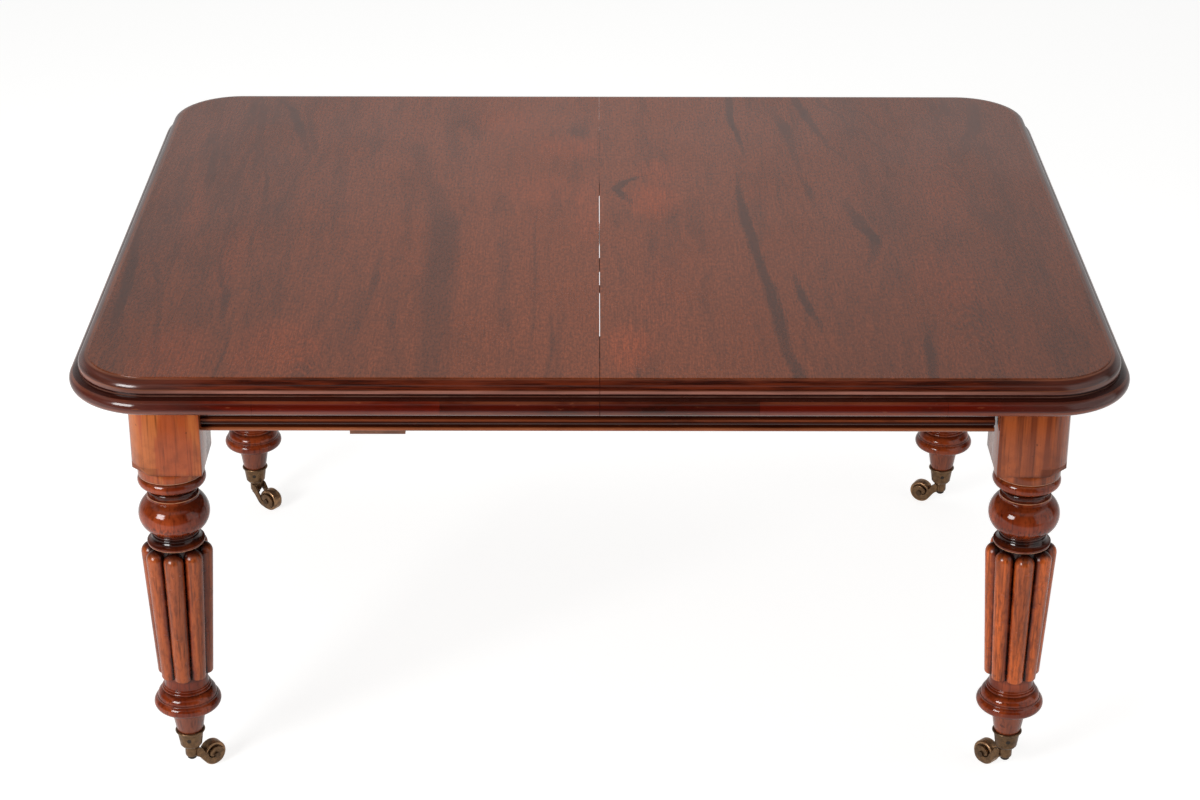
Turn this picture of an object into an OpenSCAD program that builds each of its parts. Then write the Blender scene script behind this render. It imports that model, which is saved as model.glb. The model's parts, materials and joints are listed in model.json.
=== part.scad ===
// Extending dining table: a two-part top on telescopic slides, wound out by a screw,
// on four turned and reeded legs with brass castors.
// Origin: on the floor, under the middle of the closed top. +X is the way the table extends,
// -Y is the front, +Z is up. Millimetres.

/* [Top] */
// Overall length of the closed top
top_length = 1500; // [1400:10:1700]
// Overall width of the top
top_width = 1220; // [1150:10:1300]
// Height of the top surface above the floor
table_height = 735; // [725:1:750]
// Thickness of the top boards
board_t = 23; // [20:1:26]
// Corner radius of the outermost moulding
corner_r = 124; // [100:2:140]
// Gap left between the two halves when they are closed
seam_gap = 1; // [0.6:0.2:2]

/* [Edge moulding] */
// Height of the half-round strip under the boards
strip_h = 26; // [20:2:28]
// Width of that strip, from its nose inwards
strip_w = 50; // [40:2:56]
// How far the board's face stands back from the strip's nose
board_inset = 14; // [8:1:16]
// Radius of the board's rounded upper edge
ovolo_r = 12; // [8:1:14]

/* [Frame] */
// Side of the square block at the top of a leg
leg_block = 106; // [98:1:112]
// Distance from the middle of the table to a leg's axis, lengthways
leg_x = 625; // [610:1:635]
// Distance from the middle of the table to a leg's axis, widthways
leg_y = 441; // [430:1:460]
// Height of the bottom edge of the rails
rail_bottom = 601; // [590:1:620]
// Thickness of the end rails
end_rail_t = 25; // [20:1:30]

/* [Slides] */
// Thickness of each slide
slide_t = 28; // [24:1:32]
// Depth of the dovetail tongues
tongue_d = 10; // [8:1:12]
// Width of a tongue at its root
tongue_w = 22; // [18:1:28]
// Clearance round a tongue in its groove
tongue_gap = 0.5; // [0.3:0.1:1]
// Gap between the faces of neighbouring slides
slide_gap = 1; // [0.6:0.2:2]
// Gap between a slide's free end and the leg it closes on
slide_end_gap = 5; // [3:1:8]

/* [Winding screw] */
// Radius of the screw
screw_r = 12; // [10:1:15]
// Height of the screw's axis
screw_z = 660; // [655:1:670]

/* [Castors] */
// Radius of a wheel
wheel_r = 19.5; // [18:0.5:21]
// Width of a wheel
wheel_w = 18; // [14:1:20]
// Distance from the swivel to the axle
castor_offset = 36; // [34:1:40]
// Direction in which the front left castor trails, from +X
castor_angle_front_left = 40; // [-180:1:180]
// Direction in which the front right castor trails
castor_angle_front_right = 132; // [-180:1:180]
// Direction in which the back left castor trails
castor_angle_back_left = -37; // [-180:1:180]
// Direction in which the back right castor trails
castor_angle_back_right = 151; // [-180:1:180]

/* [Hidden] */
$fn = 48;
far = 2000;

// colours
top_colour = [0.42, 0.26, 0.21];
moulding_colour = [0.33, 0.13, 0.09];
leg_colour = [0.52, 0.24, 0.14];
slide_colour = [0.40, 0.20, 0.13];
brass_colour = [0.45, 0.36, 0.22];
iron_colour = [0.22, 0.21, 0.20];

// the top and what lies under it
under_top = table_height - board_t;
half_l = top_length / 2;
half_w = top_width / 2;
nose_r = strip_h / 2;
arris_inset = board_inset + ovolo_r + 2;
quirk_h = 1;
// where the front strips are butted: the ends reach round the corners as far as this
strip_joint_x = 480;
strip_second_joint_x = 220;
strip_joint_gap = 0.3;

// the frame
block_bottom = 536;
block_corner_r = 36;
block_face_y = leg_y + leg_block / 2;
block_inner_x = leg_x - leg_block / 2;
block_inner_y = leg_y - leg_block / 2;
rail_set_back = 19;
moulding_h = 20;
moulding_d = 4;
lip_r = 3.2;
tenon_t = 12;
tenon_l = 20;
tenon_fit = 0.1;
end_rail_x = leg_x + leg_block / 2 - rail_set_back;

// the slides, counted from the outside
slide_top = under_top - 1;
outer_face_y = block_face_y - rail_set_back;
outer_back_y = outer_face_y - slide_t;
middle_face_y = outer_back_y - slide_gap;
middle_back_y = middle_face_y - slide_t;
inner_face_y = middle_back_y - slide_gap;
inner_back_y = inner_face_y - slide_t;
middle_bottom = 630;
inner_bottom = 634;
tongue_z = 674;
dovetail_flare = 0.4;
slide_end_x = block_inner_x - slide_end_gap;
slide_tenon_h = 60;

// the battens
batten_w = 80;
batten_t = 12;
outer_batten_x = -320;
middle_batten_x = 60;
outer_batten_y = outer_face_y - 13;
middle_batten_y = middle_face_y - 4;
outer_screw_y = outer_back_y + 8;
middle_screw_y = middle_face_y - slide_t / 2;
batten_screw_l = 34;
nut_rail_x = -500;
nut_rail_t = 40;
nut_rail_top = 698;

// the winding screw's fittings
screw_end_x = 430;
journal_r = 10;
running_gap = 0.05;
rail_hole_r = 16;
plate_t = 10;
plate_half = 34;
square_side = 13;
collar_r = 14.5;
collar_t = 6;
nut_flange_r = 30;
nut_flange_t = 6;
nut_body_r = 20;
escutcheon_r = 26;
escutcheon_t = 2.5;
slack = 0.02;

// the sloped cut at the foot of a block's outer corner, measured out from the leg's axis
block_corner_reach = block_corner_r + (leg_block / 2 - block_corner_r) * sqrt(2);
slope_start = 52;
slope_h = 9;

// the turning of a leg, from the block down
shoulder_r = leg_block / 2 - 4.4;
reed_count = 8;
reed_top_z = 386;
reed_bottom_z = 180;
reed_top_r = 14.8;
reed_bottom_r = 13.4;
reed_top_at = 38.2;
reed_bottom_at = 28;
neck_top_z = 120;
neck_top_r = 27.2;
neck_low_r = 20.4;
neck_z = 79;
// heights of the turned members, and the radii that stand out
shoulder_z = 519;
bead_r = 10.5;
bead_out_r = 50;
bead_z = 509.5;
cove_z = 499;
cove_r = 34;
fillet_z = 484;
ball_z = 453;
ball_r = 32;
ball_at = 20.3;
ball_neck_r = 32.5;
collar_z = 404;
collar_out_r = 42.3;
drum_z = 152.5;
bell_r = 12.5;
bell_at = 32;
bell_z = drum_z - 11.5;
flange_z = 130;
flange_r = 10.2;
flange_at = 40.3;
// heights of the two members of the rails' moulded edge
bead_bottom = 14;

// a castor
cup_top = 76;
cup_floor = 50;
cup_base = 46.5;
cup_wall = 1.7;
pin_r = 4;
axle_r = 3;
cheek_t = 3.5;
cheek_gap = 0.8;
boss_r = 10;
boss_bottom = 29;
cheek_r = 14;
cheek_drop = 0.5;
cast_gap = 0.3;
pin_head_r = 7;
pin_head_z = 24.7;
pin_tip_r = 5.2;
pin_tip_z = 23;
rivet_r = 4.6;
rivet_h = 2.4;
rivet_bite = 0.1;
tread_round = 3;
dish_d = 2.5;
dish_in_r = 8;
rim_t = 5;
cup_screw_z = 63;
cup_screw_r = 1.8;
cup_screw_head_r = 3.2;

// wood screws
wood_screw_r = 2.5;
wood_screw_head_r = 5;
wood_screw_head_h = 3;
screw_sink = 0.2;
hole_gap = 0.05;
glue_block = 30;
glue_block_bottom = 652;
top_screw_bite = 14;

// pegs in the seam
peg_r = 6;
peg_out = 20;
peg_in = 28;
peg_z = under_top + board_t / 2;
peg_y = [-480, -246, 246, 480];

legs = [
    ["front_left", -1, -1, castor_angle_front_left],
    ["front_right", 1, -1, castor_angle_front_right],
    ["back_left", -1, 1, castor_angle_back_left],
    ["back_right", 1, 1, castor_angle_back_right]
];

// ---------------------------------------------------------------- shared shapes

// a quarter of a disc in the quadrant given by the signs sx and sy
module quarter_disc(r, sx = 1, sy = 1) {
    intersection() {
        circle(r);
        translate([sx > 0 ? 0 : -r - 1, sy > 0 ? 0 : -r - 1]) square(r + 1);
    }
}

// half a disc, bulging towards +X or -X
module half_disc(r, sx = 1) {
    quarter_disc(r, sx, 1);
    quarter_disc(r, sx, -1);
}

// a rectangle from one corner to the opposite one
module box_2d(x0, y0, x1, y1) {
    translate([x0, y0]) square([x1 - x0, y1 - y0]);
}

module box_3d(x0, y0, z0, x1, y1, z1) {
    translate([x0, y0, z0]) cube([x1 - x0, y1 - y0, z1 - z0]);
}

// a bar along X with its 2-D section (child) given in Y and Z
module along_x(x0, x1) {
    translate([x0, 0, 0]) rotate([90, 0, 90]) linear_extrude(x1 - x0) children();
}

// a bar along Y with its 2-D section (child) given in X and Z, seen from the front
module along_y(y0, y1) {
    translate([0, y1, 0]) rotate([90, 0, 0]) linear_extrude(y1 - y0) children();
}

// a rod along X
module rod_x(x0, x1, y, z, r) {
    translate([x0, y, z]) rotate([0, 90, 0]) cylinder(h = x1 - x0, r = r);
}

// what lies on the left (side = -1) or right (side = 1) of the seam
module on_side(side) {
    intersection() {
        children();
        if (side < 0) box_3d(-far, -far, -far, -seam_gap / 2, far, far);
        else box_3d(seam_gap / 2, -far, -far, far, far, far);
    }
}

// a section swept round half the rim of the top, which reaches from the seam round both
// corners of one end. The section's X is the distance in from the nose, its Y is the height.
module swept_round_end() {
    run_x = half_l - corner_r;
    run_y = half_w - corner_r;
    translate([0, half_w, 0]) rotate([90, 0, 90]) linear_extrude(run_x) mirror([1, 0]) children();
    translate([0, -half_w, 0]) rotate([90, 0, 90]) linear_extrude(run_x) children();
    translate([half_l, run_y, 0]) rotate([90, 0, 0]) linear_extrude(2 * run_y) mirror([1, 0]) children();
    for (s = [-1, 1])
        translate([run_x, s * run_y, 0]) rotate([0, 0, s > 0 ? 0 : -90])
            rotate_extrude(angle = 90) translate([corner_r, 0]) mirror([1, 0]) children();
}

// ---------------------------------------------------------------- top

// section of a board's edge, as far in as the corners' centres
module board_edge_2d() {
    centre = board_inset + ovolo_r;
    shelf_z = table_height - quirk_h;
    box_2d(board_inset, under_top, corner_r, shelf_z - ovolo_r);
    translate([centre, shelf_z - ovolo_r]) quarter_disc(ovolo_r, -1, 1);
    box_2d(centre, shelf_z - ovolo_r, corner_r, shelf_z);
    box_2d(arris_inset, shelf_z, corner_r, table_height);
}

module top_half(side) {
    run_x = half_l - corner_r;
    run_y = half_w - corner_r;
    color(top_colour) difference() {
        on_side(side) mirror([side < 0 ? 1 : 0, 0, 0]) {
            swept_round_end() board_edge_2d();
            box_3d(0, -run_y, under_top, run_x, run_y, table_height);
        }
        // peg holes in the seam
        for (y = peg_y)
            if (side < 0) rod_x(-seam_gap / 2 - peg_in - 1, 0, y, peg_z, peg_r);
            else rod_x(0, seam_gap / 2 + peg_out + 3, y, peg_z, peg_r + running_gap);
        // pilot holes of the screws that hold the top down
        at_glue_blocks(side) translate([0, 0, under_top - 1])
            cylinder(h = top_screw_bite + 1.5, r = wood_screw_r);
    }
}

// section of the strip planted under a board's edge
module strip_2d() {
    translate([nose_r, under_top - nose_r]) half_disc(nose_r, -1);
    box_2d(nose_r, under_top - strip_h, strip_w, under_top);
}

module rim_end(side) {
    color(moulding_colour) mirror([side < 0 ? 1 : 0, 0, 0]) intersection() {
        swept_round_end() strip_2d();
        box_3d(strip_joint_x, -far, 0, far, far, far);
    }
}

// the strips along one side, in two butted lengths
module rim_side(side, face) {
    color(moulding_colour) mirror([side < 0 ? 1 : 0, 0, 0]) mirror([0, face > 0 ? 1 : 0, 0])
        for (run = [[seam_gap / 2, strip_second_joint_x],
                    [strip_second_joint_x + strip_joint_gap, strip_joint_x - strip_joint_gap]])
            translate([run[0], -half_w, 0]) rotate([90, 0, 90])
                linear_extrude(run[1] - run[0]) strip_2d();
}

// ---------------------------------------------------------------- legs

// everything turned on the lathe, as half a section: X is the radius, Y the height
module leg_section_2d() {
    // shoulder under the block, and the bead below it
    box_2d(0, shoulder_z, shoulder_r, block_bottom);
    box_2d(0, bead_z + 2, shoulder_r - 3, shoulder_z);
    translate([bead_out_r - bead_r, bead_z]) half_disc(bead_r);
    box_2d(0, cove_z, bead_out_r - bead_r, bead_z);
    // cove with a small ring, and the fillet on the ball
    box_2d(0, fillet_z, cove_r, cove_z);
    translate([cove_r, fillet_z + 7.5]) circle(2.6);
    box_2d(0, fillet_z - 4, cove_r + 4, fillet_z);
    // ball
    translate([ball_at, ball_z]) half_disc(ball_r);
    box_2d(0, ball_z - ball_r, ball_at, ball_z + ball_r);
    // rings under the ball, and the flared collar
    box_2d(0, collar_z, ball_neck_r, collar_z + 20);
    translate([ball_neck_r, collar_z + 17.2]) circle(2);
    translate([ball_neck_r + 0.5, collar_z + 12.8]) circle(2.4);
    difference() {
        box_2d(0, collar_z, collar_out_r, collar_z + 12);
        translate([collar_out_r + 1, collar_z + 13.3]) circle(9.7);
    }
    // core of the reeded part
    polygon([[0, reed_bottom_z], [28.5, reed_bottom_z], [36, collar_z - 3], [36, collar_z], [0, collar_z]]);
    // drum and rings under the reeds
    polygon([[0, drum_z], [35, drum_z], [34.2, drum_z + 4], [33.4, drum_z + 9], [32.6, drum_z + 14],
             [32.4, reed_bottom_z], [0, reed_bottom_z]]);
    translate([33.4, drum_z + 6.8]) circle(2);
    translate([34.9, drum_z + 2.8]) circle(2.5);
    // bell, fillet and flange
    box_2d(0, bell_z, bell_at, drum_z + 1);
    translate([bell_at, bell_z]) quarter_disc(bell_r, 1, 1);
    box_2d(0, flange_z + 8, 45.6, bell_z);
    box_2d(0, neck_top_z, flange_at, flange_z + flange_r);
    translate([flange_at, flange_z]) half_disc(flange_r);
    // neck, and the spigot that fits the castor's cup
    polygon([[0, neck_z], [neck_low_r, neck_z], [neck_top_r, neck_top_z], [0, neck_top_z]]);
    polygon([[0, cup_floor + 0.2], [spigot_r(cup_floor), cup_floor + 0.2],
             [spigot_r(neck_z), neck_z], [0, neck_z]]);
}

// one reed, standing on its own axis with its round end up
module reed() {
    length = reed_top_z - reed_bottom_z + 6;
    rotate_extrude() {
        quarter_disc(reed_top_r);
        polygon([[0, -length], [reed_bottom_r, -length], [reed_top_r, 0], [0, 0]]);
    }
}

module reeds() {
    lean = atan((reed_top_at - reed_bottom_at) / (reed_top_z - reed_bottom_z));
    difference() {
        for (k = [0 : reed_count - 1])
            rotate([0, 0, k * 360 / reed_count])
                translate([reed_top_at, 0, reed_top_z]) rotate([0, lean, 0]) reed();
        box_3d(-60, -60, reed_bottom_z - 20, 60, 60, reed_bottom_z);
    }
}

// plan of the block: its outer corner, towards -X and -Y, is well rounded
module leg_block_2d() {
    h = leg_block / 2;
    c = block_corner_r - h;
    box_2d(c, -h, h, c);
    box_2d(-h, c, h, h);
    translate([c, c]) quarter_disc(block_corner_r, -1, -1);
}

// the block; the foot of its outer corner is cut back on a slope
module leg_head() {
    slope = atan(slope_h / (block_corner_reach - slope_start));
    difference() {
        translate([0, 0, block_bottom]) linear_extrude(under_top - block_bottom) leg_block_2d();
        rotate([0, 0, 225]) translate([slope_start, 0, block_bottom]) rotate([0, -slope, 0])
            box_3d(-30, -60, -60, 60, 60, 0);
    }
}

// a leg on its own axis, as the front left one; the others are mirrored
module leg(sx, sy) {
    color(leg_colour) difference() {
        translate([sx * leg_x, sy * leg_y, 0]) {
            mirror([sx > 0 ? 1 : 0, 0, 0]) mirror([0, sy > 0 ? 1 : 0, 0]) {
                leg_head();
                rotate_extrude() leg_section_2d();
                reeds();
            }
        }
        // mortises for the rail and for the slide that ends here
        tenon_end_rail(sx, sy, tenon_fit);
        if (sx < 0) tenon_slide(-1, sy, outer_face_y - slide_t / 2, tenon_fit);
        else tenon_slide(1, sy, inner_face_y - slide_t / 2 - 0.5, tenon_fit);
        // holes of the cup's screws
        translate([sx * leg_x, sy * leg_y, 0]) cup_screw_places() cylinder(h = 9, r = cup_screw_r);
    }
}

// ---------------------------------------------------------------- frame

// section of a rail with its moulded lower edge: X runs inwards from the face, Y is the height
module moulded_rail_2d(thickness, top) {
    difference() {
        union() {
            box_2d(0, rail_bottom, thickness, top);
            // upper member: a flat bead with a rounded underside
            box_2d(-moulding_d, rail_bottom + bead_bottom, 0, rail_bottom + moulding_h);
            translate([0, rail_bottom + bead_bottom]) quarter_disc(moulding_d, -1, -1);
            // lip at the bottom
            translate([0, rail_bottom + lip_r]) half_disc(lip_r, -1);
        }
        box_2d(-moulding_d - 1, rail_bottom + 2 * lip_r, 3, rail_bottom + 2 * lip_r + 3);
    }
}

module tenon_end_rail(sx, sy, fit) {
    x = sx * (end_rail_x - end_rail_t / 2);
    y0 = min(sy * block_inner_y, sy * (block_inner_y + tenon_l + fit));
    box_3d(x - tenon_t / 2 - fit, y0, rail_bottom + 25 - fit,
           x + tenon_t / 2 + fit, y0 + tenon_l + fit, slide_top - 12 + fit);
}

module end_rail(side) {
    color(moulding_colour) difference() {
        union() {
            mirror([side > 0 ? 1 : 0, 0, 0]) translate([-end_rail_x, 0, 0])
                along_y(-block_inner_y, block_inner_y) moulded_rail_2d(end_rail_t, under_top);
            for (sy = [-1, 1]) tenon_end_rail(side, sy, 0);
        }
        // way in for the winding handle
        if (side < 0) rod_x(-end_rail_x - 10, -end_rail_x + end_rail_t + 1, 0, screw_z, rail_hole_r);
    }
}

// stub tenon of a slide, y is the distance of its middle from the table's middle
module tenon_slide(sx, sy, y, fit) {
    x0 = min(sx * block_inner_x, sx * (block_inner_x + tenon_l + fit));
    z0 = inner_bottom + 8;
    box_3d(x0, sy * y - tenon_t / 2 - fit, z0 - fit,
           x0 + tenon_l + fit, sy * y + tenon_t / 2 + fit, z0 + slide_tenon_h + fit);
}

// dovetail section that points towards -X, with its root on X = 0
module dovetail_2d(depth, root) {
    tip = root / 2 + depth * dovetail_flare;
    polygon([[1, -root / 2], [1, root / 2], [0, root / 2], [-depth, tip], [-depth, -tip], [0, -root / 2]]);
}

// groove in a slide's inner face, which lies at X = slide_t
module groove_2d() {
    translate([slide_t, tongue_z])
        dovetail_2d(tongue_d + tongue_gap, tongue_w + 2 * (tongue_gap + slide_gap * dovetail_flare));
}

// section of a plain slide: X runs inwards from its face, Y is the height
module plain_slide_2d(bottom, grooved) {
    difference() {
        union() {
            box_2d(0, bottom, slide_t, slide_top);
            translate([0, tongue_z]) dovetail_2d(tongue_d, tongue_w);
        }
        if (grooved) groove_2d();
    }
}

// a bar along X from a section whose X runs inwards from the distance y
module slide_bar(sy, y, x0, x1) {
    mirror([0, sy > 0 ? 1 : 0, 0]) translate([0, -y, 0]) along_x(x0, x1) children();
}

module outer_slide(sy) {
    color(slide_colour) difference() {
        union() {
            slide_bar(sy, outer_face_y, -block_inner_x, slide_end_x) difference() {
                moulded_rail_2d(slide_t, slide_top);
                groove_2d();
            }
            tenon_slide(-1, sy, outer_face_y - slide_t / 2, 0);
        }
        batten_screw_places(outer_batten_x, outer_screw_y, rail_bottom - batten_t)
            cylinder(h = batten_screw_l + 3, r = wood_screw_r);
    }
}

module middle_slide(sy) {
    color(slide_colour) difference() {
        slide_bar(sy, middle_face_y, -slide_end_x, slide_end_x) plain_slide_2d(middle_bottom, true);
        batten_screw_places(middle_batten_x, middle_screw_y, middle_bottom - batten_t)
            cylinder(h = batten_screw_l + 3, r = wood_screw_r);
    }
}

module inner_slide(sy) {
    color(slide_colour) union() {
        slide_bar(sy, inner_face_y, -slide_end_x, block_inner_x) plain_slide_2d(inner_bottom, false);
        tenon_slide(1, sy, inner_face_y - slide_t / 2 - 0.5, 0);
    }
}

// children at the four screws of a batten, with +Z up from the batten's underside
module batten_screw_places(x, y, z) {
    for (sy = [-1, 1], dx = [-20, 20])
        translate([x + dx, sy * y, z]) children();
}

module batten(x, y, bottom, screw_y) {
    color(slide_colour) difference() {
        box_3d(x - batten_w / 2, -y, bottom, x + batten_w / 2, y, bottom + batten_t);
        batten_screw_places(x, screw_y, bottom) wood_screw_hole();
    }
}

// counterbored clearance hole, mouth down
module wood_screw_hole() {
    translate([0, 0, -1]) cylinder(h = 70, r = wood_screw_r);
    translate([0, 0, -1])
        cylinder(h = 1 + screw_sink + wood_screw_head_h, r = wood_screw_head_r + hole_gap);
}

// a wood screw with its slotted head down
module wood_screw(length) {
    color(iron_colour) difference() {
        union() {
            cylinder(h = wood_screw_head_h, r = wood_screw_head_r);
            cylinder(h = length, r = wood_screw_r - hole_gap);
        }
        box_3d(-wood_screw_head_r, -0.6, -1, wood_screw_head_r, 0.6, 1);
    }
}

module nut_rail() {
    color(slide_colour) difference() {
        box_3d(nut_rail_x - nut_rail_t / 2, -inner_back_y, inner_bottom,
               nut_rail_x + nut_rail_t / 2, inner_back_y, nut_rail_top);
        rod_x(nut_rail_x - nut_rail_t, nut_rail_x + nut_rail_t, 0, screw_z, nut_body_r + 0.2);
    }
}

// children on the two glue blocks of an end
module at_glue_blocks(side) {
    x = end_rail_x - end_rail_t - glue_block / 2;
    for (sy = [-1, 1])
        translate([side * x, sy * (block_inner_y - glue_block / 2), 0]) children();
}

module glue_blocks(side) {
    color(slide_colour) at_glue_blocks(side) difference() {
        box_3d(-glue_block / 2, -glue_block / 2, glue_block_bottom,
               glue_block / 2, glue_block / 2, under_top);
        translate([0, 0, glue_block_bottom]) wood_screw_hole();
    }
}

module top_screws(side) {
    at_glue_blocks(side) translate([0, 0, glue_block_bottom + screw_sink])
        wood_screw(under_top + top_screw_bite - glue_block_bottom - 1);
}

module seam_pegs() {
    color(leg_colour) for (y = peg_y)
        rod_x(-seam_gap / 2 - peg_in, seam_gap / 2 + peg_out, y, peg_z, peg_r);
}

// ---------------------------------------------------------------- winding screw

plate_x = -end_rail_x + end_rail_t;

// the screw: a squared end for the handle, a journal and the working length
module winding_screw() {
    color(iron_colour) {
        box_3d(plate_x - end_rail_t + 4, -square_side / 2, screw_z - square_side / 2,
               plate_x - collar_t, square_side / 2, screw_z + square_side / 2);
        rod_x(plate_x - collar_t - 1, plate_x + plate_t + 1, 0, screw_z, journal_r);
        rod_x(plate_x + plate_t + 0.5, screw_end_x, 0, screw_z, screw_r);
    }
}

module screw_collar() {
    color(iron_colour) difference() {
        rod_x(plate_x - collar_t, plate_x - 0.5, 0, screw_z, collar_r);
        rod_x(plate_x - collar_t - 1, plate_x, 0, screw_z, journal_r + slack);
    }
}

module thrust_plate() {
    color(iron_colour) difference() {
        box_3d(plate_x, -plate_half, screw_z - plate_half,
               plate_x + plate_t, plate_half, screw_z + plate_half);
        rod_x(plate_x - 1, plate_x + plate_t + 1, 0, screw_z, journal_r + running_gap);
    }
}

module escutcheon() {
    color(brass_colour) difference() {
        rod_x(-end_rail_x - escutcheon_t, -end_rail_x, 0, screw_z, escutcheon_r);
        rod_x(-end_rail_x - 3, -end_rail_x + 1, 0, screw_z, rail_hole_r);
    }
}

module screw_nut() {
    color(iron_colour) difference() {
        union() {
            rod_x(nut_rail_x - nut_rail_t / 2, nut_rail_x + nut_rail_t / 2, 0, screw_z, nut_body_r);
            rod_x(nut_rail_x + nut_rail_t / 2, nut_rail_x + nut_rail_t / 2 + nut_flange_t, 0, screw_z,
                  nut_flange_r);
        }
        rod_x(nut_rail_x - nut_rail_t, nut_rail_x + nut_rail_t, 0, screw_z, screw_r + running_gap);
    }
}

// ---------------------------------------------------------------- castors

// outer radius of the cup's wall at a height, and the radius of its inside
function cup_outer_r(z) = 16.6 + (z - cup_floor) * 0.145;
function cup_inner_r(z) = cup_outer_r(z) - cup_wall;
function spigot_r(z) = cup_inner_r(z) - 0.1;

// children on a leg's axis
module on_leg(place) {
    translate([place[1] * leg_x, place[2] * leg_y, 0]) children();
}

// children in a castor's own frame, where it trails towards +X
module in_castor(place) {
    on_leg(place) rotate([0, 0, place[3]]) children();
}

// children at the three screws of a cup, with +Z pointing in
module cup_screw_places() {
    for (a = [270, 30, 150])
        rotate([0, 0, a]) translate([cup_outer_r(cup_screw_z) + 0.4, 0, cup_screw_z])
            rotate([0, -90, 0]) children();
}

module castor_cup(place) {
    color(brass_colour) on_leg(place) difference() {
        rotate_extrude() {
            difference() {
                polygon([[0, cup_base], [14, cup_base], [cup_outer_r(cup_floor), cup_floor],
                         [cup_outer_r(cup_top), cup_top], [cup_inner_r(cup_top), cup_top],
                         [cup_inner_r(cup_floor), cup_floor], [0, cup_floor]]);
                box_2d(0, cup_base - 1, pin_r, cup_floor + 1);
            }
            translate([cup_outer_r(cup_top) + 0.3, cup_top - 1]) intersection() {
                circle(2);
                box_2d(-1, -3, 3, 3);
            }
        }
        cup_screw_places() translate([0, 0, -2]) {
            cylinder(h = 6, r = cup_screw_r + hole_gap);
            cylinder(h = 3, r = cup_screw_head_r + hole_gap);
        }
    }
}

module swivel_pin(place) {
    color(iron_colour) on_leg(place) {
        translate([0, 0, pin_head_z]) cylinder(h = cup_floor - pin_head_z, r = pin_r);
        translate([0, 0, pin_head_z]) cylinder(h = boss_bottom - cast_gap - pin_head_z, r = pin_head_r);
        translate([0, 0, pin_tip_z]) cylinder(h = pin_head_z - pin_tip_z + 1, r = pin_tip_r);
    }
}

// side view of a cheek of the horn, in X and Z: it sweeps down from the boss under the cup
// and widens into a round head about the axle
module cheek_2d() {
    translate([castor_offset, wheel_r - cheek_drop]) circle(cheek_r);
    translate([4, 37]) circle(8);
    polygon([[0, 30.2], [6, 26], [13, 17.5], [20, 11], [27, 7], [castor_offset, 5],
             [castor_offset, wheel_r], [23, wheel_r + 6], [14, 33], [11, 40.5], [4, 45]]);
}

module horn(place) {
    side = wheel_w / 2 + cheek_gap;
    color(brass_colour) in_castor(place) difference() {
        union() {
            translate([0, 0, boss_bottom]) cylinder(h = cup_base - cast_gap - boss_bottom, r = boss_r);
            for (s = [-1, 1])
                along_y(s > 0 ? side : -side - cheek_t, s > 0 ? side + cheek_t : -side) cheek_2d();
            box_3d(-3, -side - 1, 33, 9, side + 1, 44);
        }
        translate([0, 0, boss_bottom - 5]) cylinder(h = 30, r = pin_r + running_gap);
        translate([castor_offset, 30, wheel_r]) rotate([90, 0, 0]) cylinder(h = 60, r = axle_r + slack);
    }
}

module axle_pin(place) {
    reach = wheel_w / 2 + cheek_gap + cheek_t;
    color(iron_colour) in_castor(place) translate([castor_offset, 0, wheel_r]) rotate([90, 0, 0]) {
        translate([0, 0, -reach - 0.5]) cylinder(h = 2 * reach + 1, r = axle_r);
        for (s = [-1, 1])
            translate([0, 0, s * (reach + rivet_h / 2 + rivet_bite) - rivet_h / 2])
                cylinder(h = rivet_h, r = rivet_r);
    }
}

// half section of a wheel: X is the radius, Y runs across it
module wheel_2d() {
    h = wheel_w / 2;
    difference() {
        box_2d(axle_r + running_gap, -h, wheel_r, h);
        // rounded shoulders of the tread
        for (s = [-1, 1]) difference() {
            box_2d(wheel_r - tread_round, s > 0 ? h - tread_round : -h - 1,
                   wheel_r + 1, s > 0 ? h + 1 : tread_round - h);
            translate([wheel_r - tread_round, s * (h - tread_round)]) circle(tread_round);
        }
        // dished faces
        for (s = [-1, 1])
            box_2d(dish_in_r, s > 0 ? h - dish_d : -h - 1, wheel_r - rim_t, s > 0 ? h + 1 : dish_d - h);
    }
}

module wheel(place) {
    color(brass_colour) in_castor(place) translate([castor_offset, 0, wheel_r]) rotate([90, 0, 0])
        rotate_extrude() wheel_2d();
}

module cup_screws(side) {
    for (place = legs)
        if (place[1] == side) on_leg(place) cup_screw_places() color(iron_colour) difference() {
            union() {
                cylinder(h = 8.5, r = cup_screw_r - hole_gap);
                cylinder(h = 0.9, r = cup_screw_head_r);
            }
            box_3d(-4, -0.4, -1, 4, 0.4, 0.4);
        }
}

// ---------------------------------------------------------------- nodes

top_half(-1);  // top_left
top_half(1);  // top_right
rim_end(-1);  // rim_end_left
rim_end(1);  // rim_end_right
rim_side(-1, -1);  // rim_front_left
rim_side(-1, 1);  // rim_back_left
rim_side(1, -1);  // rim_front_right
rim_side(1, 1);  // rim_back_right
for (place = legs) {
    leg(place[1], place[2]);
    castor_cup(place);
    swivel_pin(place);
    horn(place);
    axle_pin(place);
    wheel(place);
}
end_rail(-1);  // end_rail_left
end_rail(1);  // end_rail_right
outer_slide(-1);  // outer_slide_front
outer_slide(1);  // outer_slide_back
middle_slide(-1);  // middle_slide_front
middle_slide(1);  // middle_slide_back
inner_slide(-1);  // inner_slide_front
inner_slide(1);  // inner_slide_back
batten(outer_batten_x, outer_batten_y, rail_bottom - batten_t, outer_screw_y);  // outer_batten
batten(middle_batten_x, middle_batten_y, middle_bottom - batten_t, middle_screw_y);  // middle_batten
nut_rail();
glue_blocks(-1);  // glue_blocks_left
glue_blocks(1);  // glue_blocks_right
top_screws(-1);  // top_screws_left
top_screws(1);  // top_screws_right
batten_screw_places(outer_batten_x, outer_screw_y, rail_bottom - batten_t + screw_sink)  // outer_batten_screws
        wood_screw(batten_screw_l);
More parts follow.
